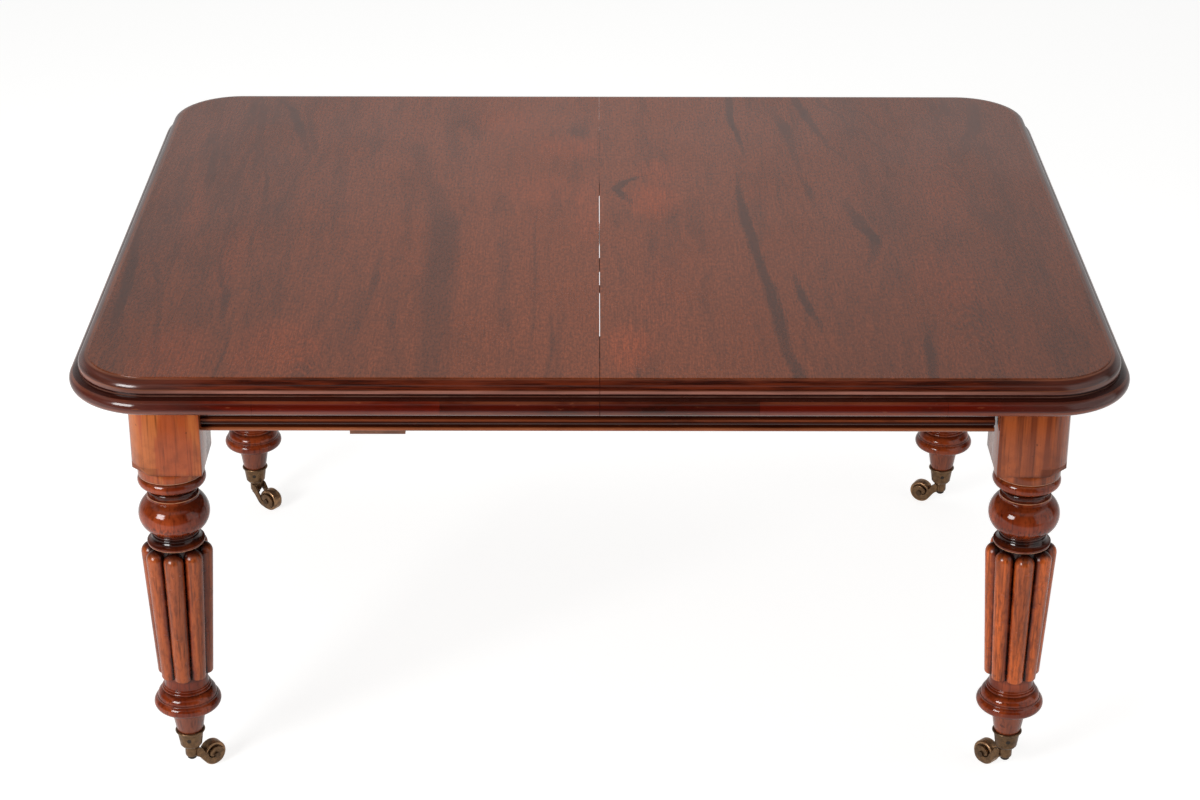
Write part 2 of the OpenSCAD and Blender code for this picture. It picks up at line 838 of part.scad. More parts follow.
batten_screw_places(middle_batten_x, middle_screw_y, middle_bottom - batten_t + screw_sink)  // middle_batten_screws
        wood_screw(batten_screw_l);
seam_pegs();
winding_screw();
screw_collar();
thrust_plate();
escutcheon();
screw_nut();
cup_screws(-1);  // cup_screws_left
cup_screws(1);  // cup_screws_right
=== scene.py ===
"""Extending dining table: boards, edge strips, legs, slides, screw and castors, dressed over the frame."""

import functools
import json
import math

import bmesh
import bpy
from mathutils import Matrix, Vector

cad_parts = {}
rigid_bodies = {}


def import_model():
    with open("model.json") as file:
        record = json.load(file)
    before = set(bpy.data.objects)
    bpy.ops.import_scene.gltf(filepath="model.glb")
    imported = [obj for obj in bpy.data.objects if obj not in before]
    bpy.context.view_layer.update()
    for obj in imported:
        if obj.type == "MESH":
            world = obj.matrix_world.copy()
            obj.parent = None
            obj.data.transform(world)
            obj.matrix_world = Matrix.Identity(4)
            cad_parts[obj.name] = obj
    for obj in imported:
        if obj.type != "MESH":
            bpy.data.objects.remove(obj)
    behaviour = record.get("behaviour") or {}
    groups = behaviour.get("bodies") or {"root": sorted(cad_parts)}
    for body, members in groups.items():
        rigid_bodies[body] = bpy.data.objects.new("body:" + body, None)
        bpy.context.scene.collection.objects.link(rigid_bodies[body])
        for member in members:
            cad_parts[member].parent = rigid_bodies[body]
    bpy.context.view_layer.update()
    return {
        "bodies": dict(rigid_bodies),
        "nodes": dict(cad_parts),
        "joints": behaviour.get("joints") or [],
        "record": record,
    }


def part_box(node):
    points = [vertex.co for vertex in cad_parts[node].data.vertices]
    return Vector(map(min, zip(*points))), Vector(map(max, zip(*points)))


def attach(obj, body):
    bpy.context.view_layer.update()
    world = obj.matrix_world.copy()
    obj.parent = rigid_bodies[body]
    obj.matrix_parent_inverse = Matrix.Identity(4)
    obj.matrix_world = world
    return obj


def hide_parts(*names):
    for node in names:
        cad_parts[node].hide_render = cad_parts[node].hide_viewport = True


bl_info = {
    "name": "Extending dining table",
    "version": (1, 0, 0),
    "blender": (4, 5, 0),
    "location": "3D Viewport > Sidebar > Table",
    "description": "Dresses the frame of an extending dining table in polished mahogany and aged brass",
    "category": "Add Mesh",
}

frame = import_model()

MM = 0.001
PLACES = ("front_left", "front_right", "back_left", "back_right")
SIDES = ("left", "right")
FACES = ("front", "back")
TOP_LOW, TOP_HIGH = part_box("top_left")
TABLE_TOP = TOP_HIGH.z
UNDER_TOP = TOP_LOW.z
COLOUR = {"size": 3, "min": 0, "max": 1, "subtype": "COLOR"}
# two points nearer than this, in metres, are at one place
NEAR = 1e-5


def joint(name):
    """The frame's joint of that name."""
    return next(j for j in frame["joints"] if j["name"] == name)


def end_body(place):
    """The body of the end that a left or right part belongs to."""
    return "left_end" if "left" in place else "right_end"


# ------------------------------------------------------------------ settings


class TableTopSettings(bpy.types.PropertyGroup):
    """Boards of the top."""

    wood: bpy.props.FloatVectorProperty(
        name="Wood", description="Colour of the plain wood of the boards",
        default=(0.172, 0.0385, 0.011), **COLOUR)
    streak: bpy.props.FloatVectorProperty(
        name="Streaks", description="Colour of the dark streaks",
        default=(0.072, 0.019, 0.0075), **COLOUR)
    flame: bpy.props.FloatVectorProperty(
        name="Flame", description="Colour of the bright patches of the figure",
        default=(0.26, 0.048, 0.011), **COLOUR)
    sheen: bpy.props.FloatProperty(
        name="Polish", description="Roughness of the worn polish", default=0.21, min=0.05, max=1)
    open_joint: bpy.props.FloatProperty(
        name="Open seam", description="Width of the seam where it gapes",
        default=0.001, min=0.0002, max=0.001, unit="LENGTH")
    closed_joint: bpy.props.FloatProperty(
        name="Closed seam", description="Width of the seam where the boards meet",
        default=0.00016, min=0.0001, max=0.001, unit="LENGTH")


class MouldingSettings(bpy.types.PropertyGroup):
    """Strips, board edges and rails."""

    wood: bpy.props.FloatVectorProperty(
        name="Wood", description="Colour of the mouldings",
        default=(0.115, 0.0165, 0.0045), **COLOUR)
    # also the colour of the painted shade in the crevices and hollows of the mouldings
    dark: bpy.props.FloatVectorProperty(
        name="Dark streaks", description="Colour of the blackened polish",
        default=(0.024, 0.003, 0.0012), **COLOUR)
    # also the colour of the painted highlights on the arrises, the strip and the rail's lip
    light: bpy.props.FloatVectorProperty(
        name="Worn wood", description="Colour where the polish is rubbed through",
        default=(0.34, 0.105, 0.042), **COLOUR)


class LegSettings(bpy.types.PropertyGroup):
    """Turned legs."""

    wood: bpy.props.FloatVectorProperty(
        name="Wood", description="Colour of the legs",
        default=(0.37, 0.07, 0.016), **COLOUR)
    orange: bpy.props.FloatVectorProperty(
        name="Bright wood", description="Colour of the brighter figure in the blocks",
        default=(0.46, 0.125, 0.03), **COLOUR)
    # also the colour of the painted shade in the hollows and between the reeds
    recess: bpy.props.FloatVectorProperty(
        name="Recesses", description="Colour of the old polish in the hollows",
        default=(0.012, 0.002, 0.0009), **COLOUR)
    brown: bpy.props.FloatVectorProperty(
        name="Brown", description="Colour of the dark bands and of the reeds' flanks",
        default=(0.135, 0.028, 0.009), **COLOUR)
    turned: bpy.props.FloatVectorProperty(
        name="Turned parts", description="Deep red of the turned parts",
        default=(0.165, 0.018, 0.004), **COLOUR)
    turned_light: bpy.props.FloatVectorProperty(
        name="Turned parts, lighter", description="Where the red of the turned parts is thinner",
        default=(0.33, 0.052, 0.012), **COLOUR)
    # also the colour of the painted highlights on the arrises
    worn: bpy.props.FloatVectorProperty(
        name="Worn arris", description="Colour where the arrises are rubbed",
        default=(0.50, 0.22, 0.12), **COLOUR)
    arris: bpy.props.FloatProperty(
        name="Arris", description="Rounding of the turned edges",
        default=0.0008, min=0.0002, max=0.002, unit="LENGTH")


class BrassSettings(bpy.types.PropertyGroup):
    """Castors."""

    metal: bpy.props.FloatVectorProperty(
        name="Brass", description="Colour of the brass where it is rubbed",
        default=(0.27, 0.15, 0.072), **COLOUR)
    tarnish: bpy.props.FloatVectorProperty(
        name="Tarnish", description="Colour of the tarnish",
        default=(0.085, 0.05, 0.028), **COLOUR)


class StageSettings(bpy.types.PropertyGroup):
    """Floor, light and camera."""

    floor: bpy.props.FloatVectorProperty(
        name="Floor", description="Colour of the floor",
        default=(0.93, 0.93, 0.92), **COLOUR)
    lens: bpy.props.FloatProperty(
        name="Lens", description="Focal length", default=82.15, min=20, max=200, unit="CAMERA")


# ------------------------------------------------------------------ modelling helpers


def deselect():
    """Selects nothing."""
    for obj in bpy.context.selected_objects:
        obj.select_set(False)


def select_only(*objs):
    """Selects these objects alone; the first is active."""
    deselect()
    for obj in objs:
        obj.select_set(True)
    bpy.context.view_layer.objects.active = objs[0]


def start(name, operator, **settings):
    """Adds a primitive and returns its object."""
    deselect()
    operator(**settings)
    obj = bpy.context.object
    obj.name = obj.data.name = name
    return obj


class editing:
    """Edit mode on one object, as a with block."""

    def __init__(self, obj):
        self.obj = obj

    def __enter__(self):
        select_only(self.obj)
        bpy.ops.object.mode_set(mode="EDIT")
        bpy.ops.mesh.select_mode(type="VERT")
        return self

    def __exit__(self, *_):
        bpy.ops.object.mode_set(mode="OBJECT")

    def pick(self, kind, test):
        """Selects the vertices, edges or faces for which test is true, and nothing else."""
        bpy.ops.mesh.select_mode(type={"verts": "VERT", "edges": "EDGE", "faces": "FACE"}[kind])
        bpy.ops.mesh.select_all(action="DESELECT")
        mesh = bmesh.from_edit_mesh(self.obj.data)
        for element in [e for e in getattr(mesh, kind) if test(e)]:
            element.select_set(True)
        mesh.select_flush_mode()
        bmesh.update_edit_mesh(self.obj.data)

    def pick_all(self):
        """Selects everything."""
        bpy.ops.mesh.select_all(action="SELECT")

    def pick_sharp(self, angle, also=lambda k: True):
        """Selects the edges whose faces meet at more than this angle, in radians."""
        self.pick("edges", lambda k: len(k.link_faces) == 2 and k.calc_face_angle() > angle and also(k))

    def bevel(self, offset, segments, **more):
        """Bevels the selected edges to a round profile."""
        bpy.ops.mesh.bevel(offset=offset, segments=segments, profile=0.5, affect="EDGES", **more)

    def face_out(self):
        """Turns all faces outwards."""
        self.pick_all()
        bpy.ops.mesh.normals_make_consistent(inside=False)


def apply_modifier(obj, kind, **settings):
    """Adds a modifier with these settings and applies it."""
    select_only(obj)
    modifier = obj.modifiers.new(kind.title(), kind)
    for key, value in settings.items():
        setattr(modifier, key, value)
    bpy.ops.object.modifier_apply(modifier=modifier.name)


def set_down(obj):
    """Puts an object's place into its mesh."""
    select_only(obj)
    bpy.ops.object.transform_apply(location=True, rotation=True, scale=True)


def copy_of(obj, name, matrix):
    """A copy with its own mesh, moved by a matrix and turned right side out again."""
    new = obj.copy()
    new.data = obj.data.copy()
    new.name = new.data.name = name
    bpy.context.scene.collection.objects.link(new)
    new.data.transform(matrix)
    if matrix.determinant() < 0:
        new.data.flip_normals()
    return new


def smooth(obj, degrees):
    """Shades smooth, apart from edges sharper than this angle."""
    select_only(obj)
    bpy.ops.object.shade_smooth_by_angle(angle=math.radians(degrees))


def wear(obj, material, body, slot, *nodes):
    """Gives a finished piece its material, its body and the nodes that it stands for; the slot is not used.
    """
    obj.data.materials.clear()
    obj.data.materials.append(material)
    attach(obj, body)
    if nodes:
        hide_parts(*nodes)
    return obj


def paint(node, material):
    """Gives a CAD node a better material."""
    mesh = frame["nodes"][node].data
    mesh.materials.clear()
    mesh.materials.append(material)


def arc(x, z, radius, first, last, steps=6):
    """Points of an arc in a turned section, angles in degrees from straight out, upwards."""
    return [(x + radius * math.cos(math.radians(first + (last - first) * i / steps)),
             z + radius * math.sin(math.radians(first + (last - first) * i / steps)))
            for i in range(steps + 1)]


def eased(points, radius):
    """The same line with its sharp corners taken off."""
    out = [points[0]]
    for before, here, after in zip(points, points[1:], points[2:]):
        a, p, b = Vector(before), Vector(here), Vector(after)
        la, lb = (a - p).length, (b - p).length
        if min(la, lb) < 1e-6 or (p - a).angle(b - p) < math.radians(28):
            out.append(here)
            continue
        cut = min(radius, 0.4 * la, 0.4 * lb)
        start_at, end_at = p.lerp(a, cut / la), p.lerp(b, cut / lb)
        middle = (start_at + end_at) / 2 * 0.45 + p * 0.55
        out += [tuple(start_at), tuple(middle), tuple(end_at)]
    return out + [points[-1]]


def chain(name, points):
    """A line of edges through points in metres, extruded from one vertex."""
    obj = start(name, bpy.ops.mesh.primitive_plane_add, size=MM)
    with editing(obj) as e:
        e.pick_all()
        bpy.ops.mesh.merge(type="CENTER")
        bpy.ops.transform.translate(value=points[0])
        for here, after in zip(points, points[1:]):
            bpy.ops.mesh.extrude_region_move(TRANSFORM_OT_translate={"value": after - here})
    return obj


def turned(name, section, steps):
    """A piece turned about its own Z axis, from its section in millimetres."""
    obj = chain(name, [Vector((x * MM, 0, z * MM)) for x, z in section])
    with editing(obj) as e:
        e.pick_all()
        bpy.ops.mesh.spin(steps=steps, angle=math.tau, center=(0, 0, 0), axis=(0, 0, 1))
        e.pick_all()
        bpy.ops.mesh.remove_doubles(threshold=1e-6)
        bpy.ops.mesh.normals_make_consistent(inside=False)
    return obj


def outline_plate(name, outline, thickness):
    """A plate in the XZ plane from its outline in millimetres, its thickness centred on Y."""
    obj = chain(name, [Vector((x * MM, -thickness * MM / 2, z * MM)) for x, z in outline])
    with editing(obj) as e:
        e.pick_all()
        bpy.ops.mesh.edge_face_add()
        bpy.ops.mesh.extrude_region_move(TRANSFORM_OT_translate={"value": (0, thickness * MM, 0)})
        e.face_out()
    return obj


def block(name, low, high):
    """A box from its lowest to its highest corner, in metres."""
    low, high = Vector(low), Vector(high)
    obj = start(name, bpy.ops.mesh.primitive_cube_add, size=1, location=(low + high) / 2)
    obj.scale = high - low
    set_down(obj)
    return obj


def united(obj, *others):
    """Unites closed pieces into the first and removes the rest."""
    for other in others:
        apply_modifier(obj, "BOOLEAN", operation="UNION", object=other, solver="EXACT")
        bpy.data.objects.remove(other)
    return obj


def joined(obj, *others):
    """Joins loose pieces into the first."""
    select_only(obj, *others)
    bpy.ops.object.join()
    return obj


# ------------------------------------------------------------------ material helpers


class Wiring:
    """Builds one material. A socket given as a value is linked, anything else is set on the input."""

    @classmethod
    def on(cls, tree):
        """The same helpers on the nodes of a world."""
        wiring = cls.__new__(cls)
        wiring.tree = tree
        return wiring

    def __init__(self, name):
        self.material = bpy.data.materials.new(name)
        self.material.use_nodes = True
        self.tree = self.material.node_tree
        self.tree.nodes.clear()
        coordinates = self.add("ShaderNodeTexCoord")
        self.place = coordinates.outputs["Object"]
        split = self.add("ShaderNodeSeparateXYZ", {0: self.place})
        self.x, self.y, self.z = split.outputs

    def add(self, kind, inputs=None, **settings):
        """Adds a node with its inputs and settings."""
        node = self.tree.nodes.new(kind)
        for key, value in settings.items():
            setattr(node, key, value)
        for key, value in (inputs or {}).items():
            if isinstance(value, bpy.types.NodeSocket):
                self.tree.links.new(value, node.inputs[key])
            else:
                node.inputs[key].default_value = value
        return node

    def math(self, operation, a, b=0.0, c=0.0, clamp=False):
        """One step of arithmetic."""
        node = self.add("ShaderNodeMath", {0: a, 1: b, 2: c}, operation=operation, use_clamp=clamp)
        return node.outputs[0]

    def times(self, a, b):
        return self.math("MULTIPLY", a, b)

    def plus(self, a, b):
        return self.math("ADD", a, b)

    def minus(self, a, b):
        return self.math("SUBTRACT", a, b)

    def over(self, a, b):
        return self.math("DIVIDE", a, b)

    def times_plus(self, a, b, c):
        """a times b, plus c."""
        return self.math("MULTIPLY_ADD", a, b, c)

    def absolute(self, a):
        return self.math("ABSOLUTE", a)

    def most(self, *values):
        """The highest of several values."""
        return functools.reduce(lambda a, b: self.math("MAXIMUM", a, b), values)

    def step(self, value, low, high, to_low=0.0, to_high=1.0):
        """A smooth step from to_low at low to to_high at high."""
        node = self.add("ShaderNodeMapRange", {0: value, 1: low, 2: high, 3: to_low, 4: to_high},
                        interpolation_type="SMOOTHSTEP")
        return node.outputs[0]

    def fade(self, value, low, high):
        """A smooth fall from 1 at low to 0 at high."""
        return self.step(value, low, high, 1.0, 0.0)

    def band(self, value, rise_from, rise_to, fall_from, fall_to):
        """1 between a rising and a falling slope, and 0 outside them."""
        return self.times(self.step(value, rise_from, rise_to), self.fade(value, fall_from, fall_to))

    def mix(self, factor, a, b, blend="MIX"):
        """Mixes two colours."""
        node = self.add("ShaderNodeMix", data_type="RGBA", blend_type=blend)
        for key, value in ((0, factor), (6, a), (7, b)):
            if isinstance(value, bpy.types.NodeSocket):
                self.tree.links.new(value, node.inputs[key])
            else:
                node.inputs[key].default_value = value if key == 0 else (*value[:3], 1)
        return node.outputs[2]

    def ramp(self, value, stops, interpolation="LINEAR"):
        """A colour ramp, its stops given as places and colours or levels of grey."""
        node = self.add("ShaderNodeValToRGB", {0: value})
        ramp = node.color_ramp
        ramp.interpolation = interpolation
        while len(ramp.elements) < len(stops):
            ramp.elements.new(1.0)
        for element, (position, colour) in zip(ramp.elements, stops):
            element.position = position
            element.color = (*colour, 1) if hasattr(colour, "__len__") else (colour,) * 3 + (1,)
        return node.outputs[0]

    def channels(self, colour):
        """The red, green and blue of a colour."""
        return self.add("ShaderNodeSeparateColor", {0: colour}).outputs

    def noise(self, scale, stretch=(1, 1, 1), detail=3.0, roughness=0.5, distortion=0.0, shift=(0, 0, 0)):
        """Noise on object coordinates, stretched along the axes and shifted."""
        place = self.add("ShaderNodeMapping", {0: self.place, 1: shift, 3: stretch})
        node = self.add("ShaderNodeTexNoise", {"Vector": place.outputs[0], "Scale": scale, "Detail": detail,
                                               "Roughness": roughness, "Distortion": distortion})
        return node.outputs[0]

    def bump(self, height, distance, strength, normal=None):
        """A bumped normal, over another one if it is given."""
        inputs = {"Strength": strength, "Distance": distance, "Height": height}
        if normal is not None:
            inputs["Normal"] = normal
        return self.add("ShaderNodeBump", inputs).outputs[0]

    def finish(self, **inputs):
        """Ends the material with a Principled shader, whose inputs are given with _ for a space."""
        named = {key.replace("_", " "): value for key, value in inputs.items()}
        shader = self.add("ShaderNodeBsdfPrincipled", named)
        self.add("ShaderNodeOutputMaterial", {0: shader.outputs[0]})
        return self.material


# placed dark streaks of the top: (y, x, half width, strength), from the front to the back
STREAKS = (
    ((0.092, -0.628, 0.006, 0.4), (0.182, -0.636, 0.009, 0.8), (0.282, -0.642, 0.009, 0.7),
     (0.432, -0.65, 0.007, 0.4), (0.552, -0.658, 0.008, 0.4)),
    ((-0.373, -0.547, 0.005, 0.6), (-0.298, -0.55, 0.007, 1), (-0.233, -0.566, 0.007, 0.9),
     (-0.158, -0.575, 0.005, 0.8), (-0.038, -0.575, 0.005, 0.6), (0.052, -0.582, 0.006, 0.5),
     (0.152, -0.59, 0.012, 0.6), (0.272, -0.588, 0.007, 0.5), (0.362, -0.576, 0.008, 0.6),
     (0.502, -0.58, 0.01, 0.7), (0.557, -0.59, 0.007, 0.5)),
    ((0.192, -0.49, 0.006, 0.4), (0.282, -0.482, 0.006, 0.4), (0.357, -0.497, 0.008, 0.6),
     (0.422, -0.512, 0.01, 0.9), (0.492, -0.527, 0.009, 0.9), (0.562, -0.548, 0.006, 0.6)),
    ((0.312, -0.475, 0.006, 0.5), (0.422, -0.49, 0.006, 0.6), (0.522, -0.508, 0.004, 0.4)),
    ((-0.178, -0.53, 0.003, 0.3), (-0.088, -0.534, 0.004, 0.5), (0.042, -0.529, 0.004, 0.5),
     (0.142, -0.535, 0.004, 0.7), (0.282, -0.553, 0.003, 0.5)),
    ((-0.438, -0.696, 0.007, 0.7), (-0.318, -0.701, 0.01, 1), (-0.188, -0.706, 0.009, 1),
     (-0.078, -0.714, 0.007, 0.8), (0.052, -0.722, 0.006, 0.5)),
    ((-0.578, -0.62, 0.006, 0.7), (-0.468, -0.628, 0.007, 0.8), (-0.398, -0.636, 0.005, 0.5),
     (-0.283, -0.648, 0.005, 0.5), (-0.218, -0.665, 0.005, 0.7), (-0.148, -0.682, 0.003, 0.5)),
    ((-0.583, -0.535, 0.003, 0.6), (-0.488, -0.532, 0.003, 0.7), (-0.378, -0.533, 0.0025, 0.4)),
    ((-0.428, -0.348, 0.004, 0.3), (-0.348, -0.34, 0.006, 0.5), (-0.238, -0.335, 0.006, 0.7),
     (-0.148, -0.332, 0.005, 0.4)),
    ((-0.368, -0.395, 0.003, 0.3), (-0.298, -0.39, 0.003, 0.5), (-0.238, -0.388, 0.003, 0.4)),
    ((-0.578, -0.235, 0.018, 0.6), (-0.428, -0.237, 0.02, 0.6), (-0.288, -0.245, 0.024, 0.7),
     (-0.188, -0.24, 0.024, 0.8), (-0.028, -0.243, 0.024, 0.8), (0.092, -0.262, 0.02, 0.5),
     (0.212, -0.288, 0.016, 0.4), (0.322, -0.302, 0.014, 0.5)),
    ((0.282, -0.24, 0.01, 0.4), (0.412, -0.252, 0.014, 0.45), (0.552, -0.25, 0.016, 0.35)),
    ((-0.578, -0.1, 0.003, 0.3), (-0.338, -0.097, 0.003, 0.4), (-0.148, -0.1, 0.003, 0.5),
     (0.002, -0.1, 0.0025, 0.3)),
    ((-0.578, -0.072, 0.004, 0.5), (-0.468, -0.068, 0.005, 0.6), (-0.378, -0.072, 0.003, 0.3)),
    ((0.357, -0.028, 0.014, 0.3), (0.397, -0.034, 0.02, 0.7), (0.462, -0.028, 0.016, 0.3)),
    ((0.297, 0.238, 0.003, 0.5), (0.382, 0.233, 0.004, 0.9), (0.462, 0.227, 0.006, 1),
     (0.567, 0.229, 0.007, 0.8)),
    ((-0.578, 0.279, 0.01, 0.9), (-0.478, 0.266, 0.009, 0.8), (-0.388, 0.262, 0.011, 1),
     (-0.278, 0.254, 0.01, 1), (-0.188, 0.244, 0.007, 1), (-0.088, 0.236, 0.009, 1),
     (0.002, 0.228, 0.01, 1), (0.112, 0.223, 0.006, 0.9), (0.187, 0.222, 0.003, 0.5)),
    ((0.272, 0.41, 0.004, 0.3), (0.352, 0.382, 0.005, 0.5), (0.427, 0.367, 0.007, 0.7),
     (0.492, 0.354, 0.009, 0.9), (0.562, 0.343, 0.008, 0.8)),
    ((0.067, 0.346, 0.004, 0.3), (0.122, 0.342, 0.007, 0.7), (0.212, 0.33, 0.004, 0.4),
     (0.332, 0.322, 0.008, 0.6), (0.422, 0.316, 0.013, 0.8), (0.502, 0.3, 0.008, 0.4)),
    ((0.052, 0.29, 0.003, 0.3), (0.112, 0.286, 0.004, 0.5), (0.202, 0.292, 0.003, 0.4)),
    ((0.262, 0.505, 0.004, 0.3), (0.382, 0.455, 0.005, 0.5), (0.472, 0.42, 0.006, 0.5),
     (0.557, 0.385, 0.005, 0.5)),
    ((0.352, 0.52, 0.005, 0.3), (0.462, 0.47, 0.005, 0.4), (0.562, 0.43, 0.005, 0.4)),
    ((-0.188, 0.404, 0.004, 0.3), (-0.128, 0.421, 0.007, 0.6), (-0.078, 0.427, 0.01, 1),
     (-0.008, 0.41, 0.013, 0.8), (0.072, 0.398, 0.008, 0.4)),
    ((-0.403, 0.319, 0.004, 0.6), (-0.348, 0.308, 0.007, 1), (-0.288, 0.299, 0.007, 1),
     (-0.233, 0.293, 0.004, 0.6)),
    ((-0.578, 0.46, 0.007, 0.8), (-0.478, 0.466, 0.008, 0.9), (-0.408, 0.472, 0.005, 0.5)),
    ((0.262, 0.598, 0.008, 0.3), (0.342, 0.62, 0.014, 0.4), (0.432, 0.646, 0.015, 0.6),
     (0.532, 0.655, 0.014, 0.5)),
    ((-0.108, 0.16, 0.01, 0.3), (-0.028, 0.15, 0.016, 0.4), (0.072, 0.15, 0.012, 0.3)),
    ((-0.088, 0.64, 0.02, 0.3), (0.012, 0.625, 0.026, 0.45), (0.052, 0.6, 0.02, 0.3)),
    ((-0.398, 0.716, 0.006, 0.4), (-0.318, 0.722, 0.009, 0.7), (-0.208, 0.724, 0.006, 0.4)),
    ((0.052, 0.05, 0.002, 0.4), (0.077, 0.052, 0.005, 1), (0.104, 0.04, 0.01, 1),
     (0.134, 0.028, 0.009, 1), (0.164, 0.038, 0.01, 0.9), (0.188, 0.062, 0.009, 1),
     (0.207, 0.092, 0.003, 0.5)),
    ((-0.586, 0.056, 0.003, 0.5), (-0.568, 0.057, 0.004, 0.9), (-0.548, 0.058, 0.0025, 0.7)),
)
# bright patches of the figure: x, y, half length, half width, strength
FLAMES = (
    (-0.60, -0.53, 0.10, 0.05, 0.7), (-0.50, -0.52, 0.10, 0.02, 0.6), (0.095, 0.21, 0.05, 0.03, 0.7),
    (0.085, 0.09, 0.07, 0.035, 1.0), (0.045, -0.48, 0.07, 0.03, 0.9), (-0.05, 0.33, 0.05, 0.05, 0.6),
    (-0.09, 0.13, 0.06, 0.05, 0.4), (-0.02, 0.05, 0.12, 0.02, 0.5), (-0.46, -0.48, 0.08, 0.06, 0.6),
    (-0.16, 0.45, 0.05, 0.05, 0.4), (0.53, -0.22, 0.10, 0.05, 0.5), (0.09, -0.33, 0.15, 0.03, 0.3),
    (-0.56, -0.17, 0.12, 0.02, 0.4), (-0.64, 0.02, 0.15, 0.015, 0.3), (0.55, 0.05, 0.13, 0.03, 0.3),
    (-0.64, 0.45, 0.10, 0.012, 0.3),
)
# apex (x, y) and half width of the arched figure
ARCHES = ((0.535, -0.205, 0.075), (-0.42, -0.445, 0.06), (0.56, 0.33, 0.05))
# where the seam gapes: from y to y, and how much
GAPES = ((-0.60, -0.042, 1.0), (-0.012, 0.168, 1.0))
# how finely a board's edge is cut up along the seam
SEAM_CUTS = 220
# joints between the boards: x, and how the tone changes there
BOARD_JOINTS = ((-0.212, -0.16), (0.21, 0.09))
# the ramps that carry the streaks: the span they cover, how far the ends fade, and the widths' scale
TOP_SPAN = 1.6
STREAK_FADE = 0.03
WIDTH_SCALE = 10
# how far the grain wanders and how ragged it is, across it
GRAIN_DRIFT = 0.022
GRAIN_RAG = 0.010
# the arched figure: how sharply it bends, and the step between its lines
ARCH_BEND = 0.012
ARCH_STEP = 0.034
# the moulded edge
STRIP_CORNER_R = 0.124
QUIRK_H = 0.001
OVOLO_R = 0.012
SHELF_W = 0.002
ARRIS_Z = 0.722
TOWARDS_ENDS = (0.5, 0.66)
EDGE_BROWN = (0.07, 0.024, 0.0175)
# colour of the light line at the foot of the board's edge, painted as wear and highlight
EDGE_WEAR_AND_HIGHLIGHT = (0.13, 0.062, 0.046)
# colour of the painted reflection on the flat face of the board's edge
FACE_REFLECTION = (0.36, 0.15, 0.11)
# heights on a strip where its painted reflection under the nose, its wear and painted highlight above the
# nose, and its painted shade in the crevice begin and end
UNDER_NOSE = (0.6947, 0.6962)
ABOVE_NOSE = (0.7058, 0.7075)
CREVICE = (0.7092, 0.7100)
# colours of the painted reflection and the painted highlight under a strip's nose
NOSE_REFLECTION = (0.30, 0.095, 0.055)
NOSE_HIGHLIGHT = (0.42, 0.085, 0.018)
STRIP_TINT = (0.85, 0.32, 0.22)
RAIL_TINT = (1.7, 2.4, 2.3)


def streak_mask(w, x):
    """The placed dark streaks."""
    along = w.times_plus(w.y, 1 / TOP_SPAN, 0.5)
    masks = []
    for row in STREAKS:
        stops = [(y / TOP_SPAN + 0.5, (x0 / TOP_SPAN + 0.5, width * WIDTH_SCALE, strength))
                 for y, x0, width, strength in row]
        (first, start_colour), (last, end_colour) = stops[0], stops[-1]
        fade_in = (first - STREAK_FADE, (*start_colour[:2], 0.0))
        fade_out = (last + STREAK_FADE, (*end_colour[:2], 0.0))
        place, width, strength = w.channels(w.ramp(along, [fade_in, *stops, fade_out], "EASE"))
        off = w.absolute(w.minus(x, w.times_plus(place, TOP_SPAN, -TOP_SPAN / 2)))
        off = w.over(off, w.most(w.times(width, 1 / WIDTH_SCALE), 0.001))
        masks.append(w.times(w.fade(off, 0.45, 1.5), strength))
    return w.most(*masks)


def flame_mask(w, x):
    """The placed bright patches."""
    masks = []
    for x0, y0, half_y, half_x, strength in FLAMES:
        dx = w.over(w.minus(x, x0), half_x)
        dy = w.over(w.minus(w.y, y0), half_y)
        masks.append(w.step(w.plus(w.times(dx, dx), w.times(dy, dy)), 0.0, 2.2, strength, 0.0))
    return w.most(*masks)


def arch_mask(w, x):
    """The lines of the arched figure."""
    masks = []
    for x0, y0, half in ARCHES:
        dx = w.minus(x, x0)
        depth = w.minus(w.minus(y0, w.y), w.over(w.times(dx, dx), ARCH_BEND))
        lines = w.math("SINE", w.times(depth, math.tau / ARCH_STEP))
        inside = w.times(w.fade(w.absolute(dx), half * 0.5, half), w.band(depth, -0.01, 0.01, 0.2, 0.34))
        masks.append(w.times(w.step(lines, 0.35, 1.0), inside))
    return w.most(*masks)


